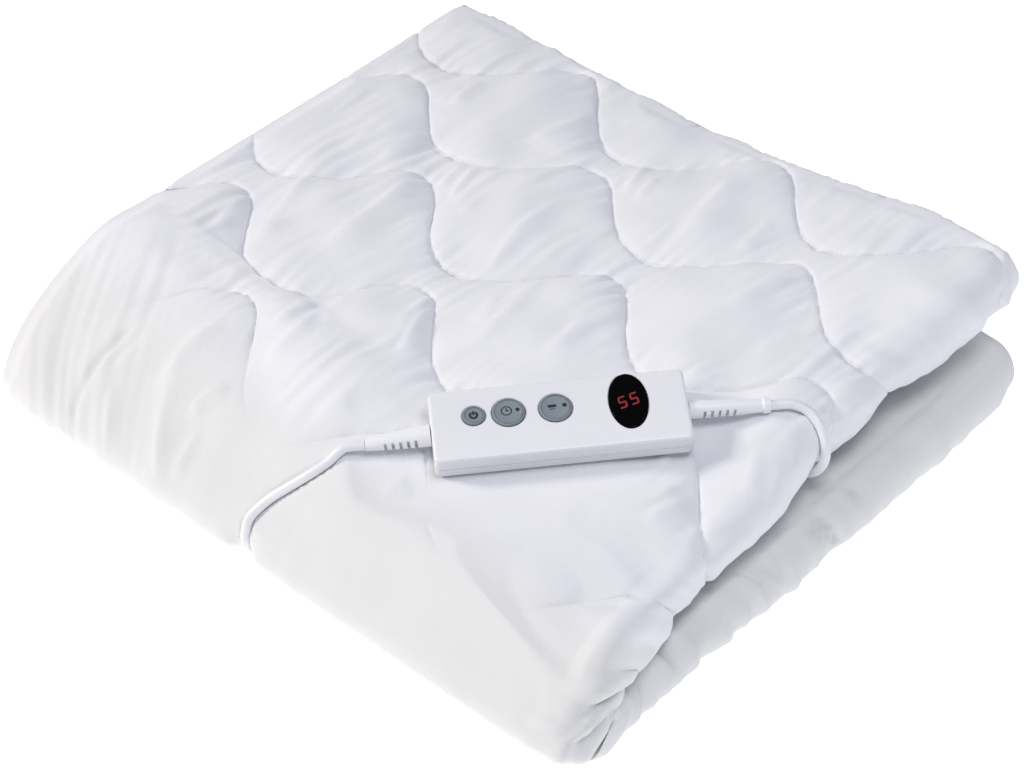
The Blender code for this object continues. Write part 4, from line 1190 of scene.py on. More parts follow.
@dataclass
class Leads:
    """The lead into the blanket, and the mains lead with its tied hank, as single curves."""

    place: ControllerPlace
    radius: float = 3 * MM
    rest: float = 3.05 * MM
    spacing: float = 4 * MM
    groove_x: float = -18 * MM
    blanket_route: tuple = (
        (198.5, 21.8, 87), (205.8, 22, 83.2), (212, 20.2, 78.8), (216.9, 17.2, 71.9),
        (218.4, 14.8, 63.5), (214.8, 13.5, 55), (206.5, 14.5, 48), (197, 18, 44.2), (186, 22, 43.6),
    )
    mains_route: tuple = (
        (10.5, -181, 72.9), (5, -190, 66.9), (-3.3, -199, 58.5), (-12.2, -207.6, 49.1),
    )
    fold_bend: float = 22 * MM
    fold_y: float = -201 * MM
    fold_angles: tuple = (-38, -14, 10, 34, 58, 80)
    under_y: tuple = (-196 * MM, 196 * MM)
    hank_bend: float = 24 * MM
    hank_angles: tuple = (0, 25, 50, 72, 90)
    hank_y: float = 237.5 * MM
    hank_rise: float = 1.2 * MM
    hank_ends: tuple = (42 * MM, 108 * MM)
    hank_radii: tuple = (24 * MM, 18 * MM)
    run_steps: int = 7
    turn_steps: int = 9
    entry_x: float = 23.8 * MM
    plug_at: tuple = (-62 * MM, 237 * MM, 6.8 * MM)

    def mains_start(self) -> list:
        """Route of the mains lead from its relief round the fold and under the blanket."""
        route = [*self.place.exit("left"), *(np.array(self.mains_route) * MM)]
        for angle in np.radians(self.fold_angles):
            y = self.fold_y - self.fold_bend * math.cos(angle)
            z = self.rest + self.fold_bend * (1 - math.sin(angle))
            route.append((self.groove_x, y, z))
        route += [(self.groove_x, y, self.rest) for y in np.linspace(*self.under_y, 8)]
        run_y = self.hank_y + self.hank_radii[0]
        for angle in np.radians(self.hank_angles):
            x = self.groove_x + self.hank_bend * (1 - math.cos(angle))
            y = run_y - self.hank_bend * (1 - math.sin(angle))
            route.append((x, y, self.rest + self.hank_rise * angle / (math.pi / 2)))
        return route

    def half_turn(self, x: float, way: int, radii: tuple, level: float, rise: float) -> list:
        """Route of half a turn at one end of the hank.

        Args:
            x: middle of the turn.
            way: 1 at the right, from back to front, and -1 at the left, from front to back.
            radii: its radius at the start and at the end.
            level: height at the start.
            rise: how much higher it ends.

        Returns:
            Points after the first.
        """
        route = []
        for t in np.linspace(0.0, 1.0, self.turn_steps)[1:]:
            angle = math.pi * t
            r = radii[0] + (radii[1] - radii[0]) * t
            y = self.hank_y + way * r * math.cos(angle)
            z = level + rise * float(smooth_step(t, 0.0, 0.8))
            route.append((x + way * r * math.sin(angle), y, z))
        return route

    def winding(self) -> list:
        """Route round the hank: five and a half turns in three layers, from the back run on."""
        left, right = self.hank_ends
        wide, narrow = self.hank_radii
        base, step = self.rest + self.hank_rise, 2 * self.radius
        # radius and layer of each turn
        turns = ((wide, 0), (narrow, 0), (narrow, 1), (wide, 1), (wide, 2))
        route = []
        for n, (radius, layer) in enumerate(turns):
            z = base + layer * step
            runs = np.linspace(0.0, 1.0, self.run_steps)
            back, front = self.hank_y + radius, self.hank_y - radius
            route += [(left + (right - left) * t, back, z) for t in runs[1 if n else 0:]]
            route += self.half_turn(right, 1, (radius, radius), z, 0.0)
            route += [(right + (left - right) * t, front, z) for t in runs[1:]]
            if n + 1 < len(turns):
                wider, above = turns[n + 1]
                route += self.half_turn(left, -1, (radius, wider), z, (above - layer) * step)
        return route

    def stub(self) -> list:
        """Free end of the mains lead: from the hank's top front run down to the plug."""
        start = np.array([
            self.entry_x, self.hank_y - self.hank_radii[0], self.rest + self.hank_rise
            + 4 * self.radius - 0.05 * MM,
        ])
        end = np.array(self.plug_at)
        route = []
        for t in np.linspace(0.0, 1.0, 9):
            across = smooth_step(t, 0.13, 0.87)
            x = start[0] + (end[0] - start[0]) * t
            route.append((x, *(start[1:] + (end[1:] - start[1:]) * across)))
        return route

    def points(self, side: str) -> Points:
        """All points of the lead that leaves one end of the controller."""
        if side == "right":
            route = [*self.place.exit("right"), *(np.array(self.blanket_route) * MM)]
        else:
            route = [*self.mains_start(), *self.winding(), *self.stub()]
        return smooth_route(route, self.spacing)

    def curve(self, name: str, points: Points) -> Piece:
        """Makes one lead as a curve with a round section."""
        data = bpy.data.curves.new(name, "CURVE")
        data.dimensions = "3D"
        data.bevel_depth = self.radius
        data.bevel_resolution = 4
        data.use_fill_caps = True
        spline = data.splines.new("POLY")
        spline.points.add(len(points) - 1)
        spline.points.foreach_set("co", np.column_stack([points, np.ones(len(points))]).ravel())
        spline.use_smooth = True
        lead = bpy.data.objects.new(name, data)
        bpy.context.scene.collection.objects.link(lead)
        data.materials.append(SHEATH.material())
        return lead

    def build(self, mains_pieces: list) -> None:
        """Args:
            mains_pieces: what is on the mains lead: the tie, the plug and its pins; not used.
        """
        for side, name, nodes in (
            ("right", "blanket_lead", ["lead_to_blanket"]),
            ("left", "mains_cable", ["mains_lead", "mains_hank", "plug_lead"]),
        ):
            points = self.points(side)
            lead = self.curve(name, points)
            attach(lead, STACK_BODY)
            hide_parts(*nodes)


# ---------------------------------------------------------------- blanket


@dataclass
class FoldedPacket:
    """Shape of the packet: four layers folded back and forth, folded once more at the front."""

    left_x: float = -250.1 * MM
    front_edge: tuple = ((-250, -224), (-20, -228.5), (100, -230.5), (170, -231.5), (240, -231.5))
    upper_back: tuple = ((-245, 223.5), (0, 222), (225, 214), (250, 208))
    lower_back: tuple = ((-245, 216), (0, 208), (225, 194), (250, 188))
    upper_right: tuple = (
        (-230, 231), (-200, 229), (-169, 226), (-124, 222), (-46, 218),
        (21, 216), (91, 216), (172, 224), (221, 222),
    )
    lower_right: tuple = (
        (-200, 232.5), (-169, 232.5), (-124, 233), (-46, 236),
        (21, 237), (91, 240), (172, 241), (221, 239),
    )
    # station round the fold, then distance behind the front and height, outer and inner face
    section: tuple = (
        (0.38, 130.0, -2.4, 136.0, 43.0), (0.43, 60.0, -2.4, 76.0, 38.0),
        (0.46, 27.0, -1.4, 57.0, 31.0), (0.48, 8.0, 6.5, 51.0, 28.0), (0.50, 0.0, 17.5, 48.5, 31.5),
        (0.52, 6.0, 27.0, 51.5, 35.5), (0.55, 29.0, 45.0, 61.0, 39.5), (0.58, 62.0, 67.0, 76.0, 43.0),
        (0.61, 97.0, 83.0, 103.0, 45.6), (0.66, 140.0, 84.5, 143.0, 46.2),
    )
    flat_height: float = 84.5 * MM
    # middle X, middle Y, radius X, radius Y, height
    swells: tuple = (
        (190, 221, 95, 125, 15), (-45, 221, 75, 100, -5), (-240, 215, 60, 60, 2.5),
        (182, 12, 42, 42, 3.5),
    )
    slit_opening: tuple = (235, 200, 60, 150, 3)
    corner_direction: tuple = (0.743, -0.669)
    corner_slope: float = 0.14
    corner_start: float = 95 * MM
    slit_share: float = 0.47
    nose: float = 0.5
    upper_from: float = 0.62
    setback_stations: tuple = (0.47, 0.56)
    packed_reach: tuple = (30 * MM, 110 * MM)
    front_fullness: float = 0.37
    fullness_x: tuple = (-140 * MM, 40 * MM)
    fullness_power: float = 0.8
    seat_gap: float = 2.2 * MM
    seat_spread: float = 55 * MM
    seat_limits: tuple = (-9 * MM, 3 * MM)
    seat_past_end: float = 36 * MM
    seat_rise: float = 14 * MM
    seat_drop: float = 3 * MM

    def swell(self, x: Points, y: Points, row: tuple) -> Points:
        """Height of one soft swell at each point."""
        middle_x, middle_y, radius_x, radius_y, height = (value * MM for value in row)
        off = ((x - middle_x) / radius_x) ** 2 + ((y - middle_y) / radius_y) ** 2
        return height * np.exp(-off)

    def seat(self, x: Points, y: Points, place: ControllerPlace) -> tuple[Points, Points]:
        """Finds what the cloth does under the controller.

        Args:
            x: places along the front.
            y: places across it.
            place: where the controller lies.

        Returns:
            Height of the controller's underside, and how much the cloth follows it there.
        """
        matrix = place.matrix
        normal = np.array(matrix.to_3x3() @ Vector((0, 0, 1)))
        length, width, height = place.size
        centre = np.array(matrix.translation) - normal * (height + self.seat_gap)
        off_x, off_y = x - centre[0], y - centre[1]
        level = centre[2] - (normal[0] * off_x + normal[1] * off_y) / normal[2]
        cos, sin = math.cos(place.heading), math.sin(place.heading)
        along = off_x * cos + off_y * sin + self.seat_past_end / 2
        across = off_y * cos - off_x * sin
        outside = np.hypot(
            np.maximum(np.abs(along) - (length + self.seat_past_end) / 2, 0.0),
            np.maximum(np.abs(across) - width / 2, 0.0),
        )
        return level, 1.0 - smooth_step(outside, self.seat_gap, self.seat_spread)

    def top_height(self, x: Points, y: Points, place: ControllerPlace) -> Points:
        """Height of the upper face: full at the right back, low at the front corner."""
        height = self.flat_height + sum(self.swell(x, y, row) for row in self.swells)
        towards = self.corner_direction[0] * x + self.corner_direction[1] * y
        height = height - self.corner_slope * np.maximum(towards - self.corner_start, 0.0)
        seat, follow = self.seat(x, y, place)
        return height + np.clip(seat - height, *self.seat_limits) * follow

    def faces(self, station: Points, x: Points) -> list[Points]:
        """Reads the section: distance behind the front and height, outer and inner face."""
        table = np.array(self.section)
        stations = table[:, 0]
        columns = [hermite(station * MM, np.column_stack([stations, table[:, n]])) for n in range(1, 5)]
        front = hermite(x, self.front_edge)
        lower = np.clip((stations[0] - station) / stations[0], 0.0, 1.0)
        upper = np.clip((station - stations[-1]) / (1.0 - stations[-1]), 0.0, 1.0)
        lower_depth = hermite(x, self.lower_back) - front
        upper_depth = hermite(x, self.upper_back) - front
        for n in (0, 2):
            columns[n] = columns[n] + (lower_depth - columns[n]) * lower
            columns[n] = columns[n] + (upper_depth - columns[n]) * upper
        slope = np.clip((station - self.nose) / (stations[-1] - self.nose), 0.0, 1.0)
        fullness = self.front_fullness * smooth_step(x, *self.fullness_x)
        columns[0] = columns[0] * (1 - fullness * np.sin(math.pi * slope) ** self.fullness_power)
        return columns

    def point(self, station: Points, stack: Points, x: Points, place: ControllerPlace) -> Points:
        """Finds points of the packet.

        Args:
            station: place round the fold, from the underside's back (0) to the top's (1).
            stack: place through the four layers, from the inner face (0) to the outer (1).
            x: place along the front.
            place: where the controller lies.

        Returns:
            Points in metres.
        """
        outer_far, outer_high, inner_far, inner_high = self.faces(station, x)
        far = inner_far + (outer_far - inner_far) * stack
        y = hermite(x, self.front_edge) + far
        lift = self.top_height(x, y, place) - self.flat_height
        upper = smooth_step(station, self.nose, self.upper_from)
        packed = smooth_step(far, *self.packed_reach)
        opening = self.swell(x, y, self.slit_opening)
        outer_high = outer_high + lift * upper * packed
        inner_high = inner_high + lift * packed * self.slit_share + opening * upper
        z = inner_high + (outer_high - inner_high) * stack
        return np.stack(np.broadcast_arrays(x, y, z), -1)

    def right_edge(self, station: Points, x: Points) -> Points:
        """Outermost X of the right edge: the upper packet stands back from the lower one."""
        y = hermite(x, self.front_edge) + self.faces(station, x)[0]
        lower, upper = hermite(y, self.lower_right), hermite(y, self.upper_right)
        return lower + (upper - lower) * smooth_step(station, *self.setback_stations)


@dataclass(frozen=True)
class Crease:
    """One main crease: a ridge, sharp on its left and broad on its right, or a soft trough.

    Its ends are places on the cloth in millimetres: along the front, and over the outer face from
    its back edge. It runs from front to back; a trough has a height below zero.
    """

    start: tuple
    end: tuple
    height: float = 1.6
    right: float = 8.0
    bow: float = 0.0
    left: float = 3.0

    def at(self, along: Points, distance: Points) -> Points:
        """Height of the crease at each point, in metres."""
        across, back = self.end[0] - self.start[0], self.end[1] - self.start[1]
        length = math.hypot(across, back)
        off_a, off_d = along / MM - self.start[0], distance / MM - self.start[1]
        share = (off_a * across + off_d * back) / length**2
        side = (off_d * across - off_a * back) / length - 4 * self.bow * share * (1 - share)
        ends = smooth_step(share, -0.12, 0.25) * (1.0 - smooth_step(share, 0.7, 1.12))
        return self.height * MM * ends * np.exp(
            -((side / np.where(side < 0.0, self.left, self.right)) ** 2)
        )


# creases listed one by one: start, end, height, width on the right, bow, width on the left
CREASES = tuple(Crease(row[:2], row[2:4], *row[4:]) for row in (
    # on the filled cells
    (-114, 272, -122, 186, 2.4, 13, 2), (-156, 299, -182, 222, 1.8, 9),
    (-177, 270, -182, 224, 1.3, 6), (-160, 291, -148, 225, 1.8, 9), (-182, 186, -182, 161, 1.3, 6),
    (-156, 179, -156, 141, 1.3, 6), (-187, 303, -197, 268, 1.5, 8), (-80, 370, -83, 322, 1.8, 10),
    (-63, 332, -66, 299, 1.3, 7), (-20, 299, -25, 265, 1.4, 8), (14, 261, 9, 236, 1.2, 6),
    (-15, 219, -27, 139, 2.3, 12, -3), (55, 112, 41, 46, 2.4, 14, 3), (99, 104, 92, 67, 1.4, 7),
    (-92, 98, -85, 50, 1.7, 11), (-163, 104, -170, 69, 1.7, 7), (-173, 107, -173, 83, 1.3, 5),
    (19, 30, 38, 2, 1.1, 7), (-66, 36, -54, 15, 1.1, 6), (14, 267, 19, 206, 1.5, 8, 2),
    (29, 276, 24, 224, 1.4, 7), (75, 259, 68, 215, 1.5, 9), (0, 316, -17, 276, 1.4, 9),
    (135, 153, 143, 108, 1.6, 10), (174, 174, 184, 146, 1.2, 8), (152, 349, 155, 311, 1.3, 9),
    (186, 312, 206, 285, 1.3, 8), (206, 318, 216, 290, 1.3, 7),
    # sharp gathers at the necks
    (-107, 172, -109, 147, 1.5, 4, 0, 2), (-92, 177, -100, 143, 1.6, 4, 0, 2),
    (-85, 180, -83, 135, 1.6, 4, 0, 2), (-71, 188, -71, 163, 1.2, 4, 0, 2),
    (-8, 96, -17, 65, 1.5, 4, 0, 2), (7, 100, 0, 75, 1.4, 4, 0, 2),
    # on the front slope, some of them troughs
    (-124, 431, -112, 388, 2.8, 14, -2), (-90, 435, -76, 411, 2.0, 6, -2),
    (-66, 387, -63, 347, 1.7, 8), (-80, 465, -76, 439, 1.1, 5), (-92, 472, -119, 428, 1.6, 7),
    (-177, 454, -165, 413, -2.0, 3, -2), (-168, 440, -158, 416, -1.4, 3),
    (-177, 472, -177, 452, -1.3, 3), (-141, 472, -156, 446, 1.2, 5), (-125, 422, -114, 399, 1.3, 6),
    # round the lead into the blanket
    (255, 172, 205, 206, -1.6, 5, 3, 4), (238, 264, 228, 238, 1.1, 4), (253, 262, 240, 236, 1.2, 4),
    (246, 234, 240, 216, 1.0, 3),
    # troughs of the gathered band at the right
    (246, 731, 290, 700, -3.4, 5, 3), (258, 716, 288, 696, -2.6, 4), (250, 681, 284, 672, -2.4, 4),
    (262, 671, 290, 648, -3.0, 5), (250, 667, 290, 638, -3.6, 5, 2), (264, 610, 290, 588, -3.0, 5),
    (250, 650, 288, 626, -3.2, 5), (260, 756, 288, 738, -2.4, 4), (242, 605, 288, 584, -3.4, 5, 2),
    (240, 640, 268, 618, -2.6, 4), (254, 578, 288, 562, -2.8, 5), (246, 548, 284, 532, -3.0, 5),
    (232, 462, 266, 430, -1.9, 8, 2, 7), (230, 484, 262, 452, -2.2, 8, 2, 7),
    (232, 505, 258, 474, -1.8, 8, 2, 7), (240, 412, 262, 396, -1.4, 9, 0, 7),
))


@dataclass(frozen=True)
class Ripple:
    """One layer of noise on the cloth: its height, and its pitch in millimetres across and along."""

    height: float
    pitch: tuple
    start: tuple = (0, 0)

    def at(self, noise: SoftNoise, along: Points, down: Points) -> Points:
        """Reads the layer's height at places across and along its creases."""
        (pitch_a, pitch_d), (start_a, start_d) = self.pitch, self.start
        return self.height * noise.at(along / (pitch_a * MM) + start_a, down / (pitch_d * MM) + start_d)


@dataclass
class ClothRelief:
    """Seams, gathers and creases over the plain cells of the visible face.

    Attributes:
        x: place along the front.
        past: distance past the start of the turn at the right.
        extreme: how near it is to a crest or trough of the seams' waves, 0 to 1.
        distance: distance over the outer face from its back edge.
        part: place between two seams, 0 to 1.
        width: distance from one seam to the next.
        fold: distance from the front fold's foremost line, positive below it.
        plain: how far the seams have faded, 0 to 1.
    """

    x: Points
    past: Points
    extreme: Points
    distance: Points
    part: Points
    width: Points
    fold: Points
    plain: Points
    groove_depth: float = 1.2 * MM
    groove_half: float = 1.6 * MM
    groove_share: float = 0.55
    groove_uneven: Ripple = Ripple(0.6, (16, 30), (31, 0))
    neck_widths: tuple = (25, 80)
    drawn_depth: float = 1.5 * MM
    drawn_reach: float = 2.8 * MM
    bare_along: tuple = (205, 225)
    bare_from: tuple = (375, 395)
    bare_to: tuple = (520, 545)
    bending: Ripple = Ripple(5 * MM, (50, 50), (0, 17))
    gather_slant: float = 0.16
    gather_reach: float = 22 * MM
    gather_lines: Ripple = Ripple(2.1 * MM, (7, 55))
    small_reach: float = 9 * MM
    small_lines: Ripple = Ripple(0.8 * MM, (4.6, 26), (9, 0))
    crease_height: float = 2.3 * MM
    crease_level: float = 0.45
    ridges: Ripple = Ripple(1.0, (12.5, 85), (0, 3))
    patches: Ripple = Ripple(1.0, (60, 75))
    patch_levels: tuple = (-0.35, 0.5)
    quiet_from: tuple = (300, 335)
    quiet_x: tuple = (80, 140)
    swells: Ripple = Ripple(2.8 * MM, (38, 48), (9, 3))
    smooth_from: tuple = (318, 350)
    smooth_x: tuple = (-120, 20)
    slope_height: float = 0.75 * MM
    slope_x: tuple = (40, 190)
    slope_from: tuple = (330, 400)
    slope_slant: float = 0.55
    slope_lines: Ripple = Ripple(1.0, (8.5, 80), (5, 11))
    slope_ridges: Ripple = Ripple(0.4, (15, 1000))
    side_from: tuple = (180, 245)
    side_slant: float = 0.45
    side_height: float = 1 * MM
    lower_part: tuple = (-20, 20)
    side_folds: Ripple = Ripple(1.0, (8.5, 48), (3, 0))
    side_swells: Ripple = Ripple(0.9, (19, 60), (0, 5))
    corner_half: float = 48 * MM
    corner_along: tuple = (205, 250)
    crumples: Ripple = Ripple(4.2 * MM, (12, 19), (8, 0))
    placed_fullness: float = 1.3

    def __post_init__(self) -> None:
        """Draws the noise and works out the places that several layers share."""
        self.fine, self.broad, self.mask = SoftNoise(11), SoftNoise(23), SoftNoise(37)
        self.x = np.broadcast_to(self.x, self.distance.shape)
        self.along = self.x + self.past
        self.away = np.minimum(self.part, 1.0 - self.part) * self.width
        self.neck = 1.0 - fade_in(self.width, self.neck_widths)
        bend = self.bending.at(self.broad, self.along, self.distance)
        self.across = self.along + self.gather_slant * self.distance + bend
        self.upright = self.distance + self.side_slant * self.past + bend
        patches = self.patches.at(self.mask, self.along, self.distance)
        self.patch = smooth_step(patches, *self.patch_levels)

    def grooves(self) -> Points:
        """Grooves along the seams, deepest behind a neck and none on the front right corner."""
        uneven = self.groove_uneven.at(self.broad, self.along, self.distance) + self.groove_share
        groove = self.groove_depth * np.exp(-((self.away / self.groove_half) ** 2)) * uneven
        behind = np.exp(-((self.part * self.width / self.drawn_reach) ** 2))
        drawn = self.drawn_depth * behind * self.neck * self.extreme * (1.0 - self.plain)
        bare = fade_in(self.along, self.bare_along)
        bare = bare * fade_in(self.distance, self.bare_from)
        bare = bare * (1.0 - fade_in(self.distance, self.bare_to))
        return -(groove * (1.0 - 0.9 * self.plain) + drawn) * (1.0 - bare)

    def gathers(self) -> Points:
        """Gathers that cross the necks and fade into the wide cells on both sides."""
        near = np.exp(-self.away / self.gather_reach) * self.extreme
        lines = self.gather_lines.at(self.fine, self.across, self.distance)
        small = self.small_lines.at(self.fine, self.across, self.distance)
        gathers = lines * np.maximum(0.85 * self.neck, near)
        return (gathers + small * np.exp(-self.away / self.small_reach)) * (1.0 - self.plain)

    def creases(self) -> Points:
        """Long soft creases in patches, which run from back to front."""
        ridge = np.abs(self.ridges.at(self.broad, self.across, self.distance))
        height = self.crease_height * (self.crease_level - ridge)
        return height * self.patch * (1.0 - 0.8 * self.plain)

    def quiet(self) -> Points:
        """Share that is left of gathers and creases: the last cell before the corner is smooth."""
        quiet = fade_in(self.distance, self.quiet_from) * fade_in(self.x, self.quiet_x)
        return 1.0 - 0.85 * quiet

    def uneven_filling(self) -> Points:
        """Broad unevenness of the filling, less towards the front and its right."""
        swell = self.swells.at(self.broad, self.along, self.distance)
        smooth = np.maximum(self.plain, 0.8 * fade_in(self.distance, self.smooth_from))
        smooth = smooth * fade_in(self.x, self.smooth_x)
        return swell * (1.0 - 0.8 * smooth - 0.3 * self.plain * (1.0 - smooth))

    def front_slope(self) -> Points:
        """Slanted creases of the front slope, at its left end alone."""
        left = fade_in(-self.x, self.slope_x) * fade_in(self.distance, self.slope_from)
        slanted = self.x - self.slope_slant * (self.distance - self.slope_from[1] * MM)
        lines = self.slope_lines.at(self.fine, slanted, self.distance)
        ridges = np.abs(self.slope_ridges.at(self.broad, slanted, self.fold))
        return self.slope_height * left * (lines + ridges)

    def right_side(self) -> Points:
        """Upright folds of the turn at the right, crumpled where it meets the front fold."""
        side = self.side_height * fade_in(self.along, self.side_from)
        side = side * (1.0 + 0.9 * fade_in(self.fold, self.lower_part))
        folds = self.side_folds.at(self.fine, self.upright, self.along) * (0.4 + 0.6 * self.patch)
        swells = self.side_swells.at(self.broad, self.upright, self.along)
        corner = np.exp(-((self.fold / self.corner_half) ** 2))
        corner = corner * fade_in(self.along, self.corner_along)
        crumple = self.crumples.at(self.broad, self.upright, self.along)
        return side * (folds + swells) + corner * crumple

    def height(self) -> Points:
        """Adds up all layers and the listed creases, in metres."""
        by_hand = sum(crease.at(self.along, self.distance) for crease in CREASES)
        drawn = (self.gathers() + self.creases()) * self.quiet()
        rest = self.uneven_filling() + self.front_slope() + self.right_side()
        return self.grooves() + drawn + rest + self.placed_fullness * by_hand


@dataclass
class QuiltedBlanket:
    """The quilted cloth: one closed sheet, its visible outer face fine and the rest plainer."""

    packet: FoldedPacket
    place: ControllerPlace
    leads: list
    layers: tuple = (0.875, 0.125, 0.37, 0.605)
    run_end: float = 230 * MM
    wide_turn: float = 16 * MM
    quilted_to: float = 0.78
    tight_turn: float = 5.4 * MM
    hem_setbacks: tuple = (4 * MM, 13 * MM)
    seam_places: tuple = (43, 121, 206, 293, 392, 480, 568, 656, 744, 832)
    seam_waves: tuple = (31, 26, 31, 31, 31, 16, 16, 30, 30, 30)
    seam_shifts: tuple = (0, 0, 0, 48, 20, 0, 0, 0, 0, 0)
    shift_x: tuple = (100, 190)
    coarse_rows: tuple = (4, 6, 6, 6, 8, 8, 8, 5, 4, 4, 3)
    fine_rows: tuple = (24, 36, 36, 36, 48, 40, 24, 30, 28, 20, 6)
    wave_period: float = 174 * MM
    wave_peak_x: float = 52 * MM
    seam_sharpness: float = 0.12
    crown: float = 4.5 * MM
    wide_cell: float = 80 * MM
    crown_power: float = 0.7
    cell_power: float = 0.4
    least_cell: float = 0.35
    dome_height: float = 8 * MM
    neck_height: float = 1.4 * MM
    dome_power: float = 0.72
    dome_widths: tuple = (10, 150)
    plain_share: float = 0.75
    seams_fade: tuple = (372, 420)
    stitches_end: tuple = (4, 20)
    row_crowding: float = 0.07
    seam_wander: float = 1.6 * MM
    wander_pitch: float = 24 * MM
    seam_outside: float = 0.4 * MM
    seam_inside: float = 1.6 * MM
    hidden_half: float = 3.5 * MM
    turn_thinning: float = 0.5
    hem_half: float = 2.4 * MM
    hem_end_half: float = 1.2 * MM
    hem_reaches: tuple = (8 * MM, 40 * MM)
    left_hem_reach: float = 30 * MM
    hem_growth: float = 12 * MM
    layer_gap: float = 1.4 * MM
    left_inset: float = 9 * MM
    inset_stations: float = 0.06
    gather: float = 2.2 * MM
    gather_pitch: float = 26 * MM
    gather_reach: float = 80 * MM
    square_from: tuple = (290, 350)
    square_to: tuple = (495, 530)
    squareness: float = 0.55
    coarse_columns: int = 22
    fine_per_coarse: int = 10
    hidden_columns: int = 7
    wide_steps: int = 6
    fine_per_step: int = 4
    tight_steps: int = 6
    lead_clearance: float = 3.6 * MM
    lead_cloth: float = 1.4 * MM
    lead_spread: float = 7 * MM
    flat: tuple = (1.9, 0.9)

    def span(self) -> float:
        """Length of a run of the sheet, from the left to the turn at the right."""
        return self.run_end - self.packet.left_x

    def coarse_count(self) -> int:
        """Number of columns of the coarse sheet, which alone ends in a sewn edge."""
        turns = self.wide_steps + 2 * self.tight_steps
        return self.coarse_columns + 1 + turns + 3 * self.hidden_columns

    def over(self) -> tuple[Points, Points]:
        """Distance over the outer face from its back edge, and the stations along it."""
        reach = np.linspace(1.0, 0.0, 601)
        far, high, _, _ = self.packet.faces(reach, np.zeros_like(reach))
        steps = np.hypot(np.diff(far), np.diff(high))
        return np.concatenate([[0.0], np.cumsum(steps)]), reach

    def guides(self, x: Points, total: float) -> Points:
        """Distance of every seam from the back edge at x, with the straight edges at the ends."""
        lines = [np.zeros_like(x)]
        for n, (middle, wave) in enumerate(zip(self.seam_places, self.seam_waves)):
            moved = x - self.seam_shifts[n] * MM * fade_in(x, self.shift_x)
            turn = 2 * math.pi * (moved - self.wave_peak_x) / self.wave_period + math.pi * n
            swing = np.cos(turn) + self.seam_sharpness * np.cos(2 * turn)
            wander = self.seam_wander * SoftNoise(51 + n).at(x / self.wander_pitch, np.full_like(x, 0.5))
            lines.append((middle - wave * swing) * MM + wander)
        return np.array(lines + [np.full_like(x, total)])

    def rows(self, fine: bool) -> tuple[Points, Points]:
        """Seam interval and place in it for every row; fine rows crowd towards the seams."""
        interval, part = [0], [0.0]
        for n, (coarse, close) in enumerate(zip(self.coarse_rows, self.fine_rows)):
            count = close if fine else coarse
            steps = np.arange(1, count + 1) / count
            interval += [n] * count
            part += list(steps - self.row_crowding * np.sin(2 * math.pi * steps))
        return np.array(interval), np.array(part)

    def columns(self, fine: bool) -> tuple:
        """All columns of the coarse sheet, or the fine ones of its visible face.

        Args:
            fine: whether to give the fine columns of the outer layer and the wide turn.

        Returns:
            Share of the run, bulge past its end, place in the stack, setback from the left
            edge, quilting and distance past the turn's start, a value a column.
        """
        outer, inner = self.layers[0], self.layers[1]
        runs = self.coarse_columns * (self.fine_per_coarse if fine else 1)
        rows = [(s, 0.0, outer, self.hem_setbacks[0], 1.0, 0.0)
                for s in np.linspace(0.0, 1.0, runs + 1)]
        steps = self.wide_steps * (self.fine_per_step if fine else 1)
        deep = self.tight_turn + self.hidden_half
        rows += self.turn(outer, inner, self.wide_turn, True, steps, quilted=True)
        if not fine:
            rightwards = np.linspace(0.0, 1.0, self.hidden_columns + 1)[1:]
            _, b, c, d = self.layers
            rows += [(1.0 - s, 0.0, b, deep, 0.0, 0.0) for s in rightwards]
            rows += self.turn(b, c, self.tight_turn, False, self.tight_steps)
            rows += [(s, 0.0, c, deep, 0.0, 0.0) for s in rightwards]
            rows += self.turn(c, d, self.tight_turn, True, self.tight_steps)
            rows += [(1.0 - s, 0.0, d, self.hem_setbacks[1], 0.0, 0.0) for s in rightwards]
        return tuple(np.array(rows).T)

    def turn(
        self, start: float, end: float, radius: float, right: bool, steps: int, quilted: bool = False,
    ) -> list:
        """Makes the columns of half a turn past the end of two runs, without its first one.

        Args:
            start: place in the stack of the run that it leaves.
            end: place in the stack of the run that it meets.
            radius: how far it bulges.
            right: whether it is at the right end.
            steps: number of columns.
            quilted: whether it starts quilted, as the visible turn does.

        Returns:
            A row for each column, as in columns.
        """
        middle, half = (start + end) / 2, (start - end) / 2
        deep = self.tight_turn + self.hidden_half
        rows = []
        for n in range(1, steps + 1):
            angle = math.pi * n / steps
            fade = float(1.0 - smooth_step(n / steps, self.quilted_to, 1.0)) if quilted else 0.0
            bulge = radius * math.sin(angle) * (1 if right else -1)
            past = radius * angle if right else 0.0
            stack = middle + half * math.cos(angle)
            rows.append((1.0 if right else 0.0, bulge, stack, deep, fade, past))
        return rows

    def places(self, station: Points, share: Points, setback: Points) -> Points:
        """Finds where every point lies along the front.

        Args:
            station: place round the fold.
            share: share of the run from left to right, a value a column.
            setback: how far a column's layer stands back from the left edge.

        Returns:
            Places from the left edge to the start of the turn at the right.
        """
        guess = self.packet.left_x + share * self.span()
        edge = self.packet.right_edge(station, guess) - self.wide_turn - self.crown
        from_nose = np.abs(station - self.packet.nose)
        inset = self.left_inset * (1.0 - smooth_step(from_nose, 0.0, self.inset_stations))
        left = self.packet.left_x + setback + inset
        return left + share * (edge - left)

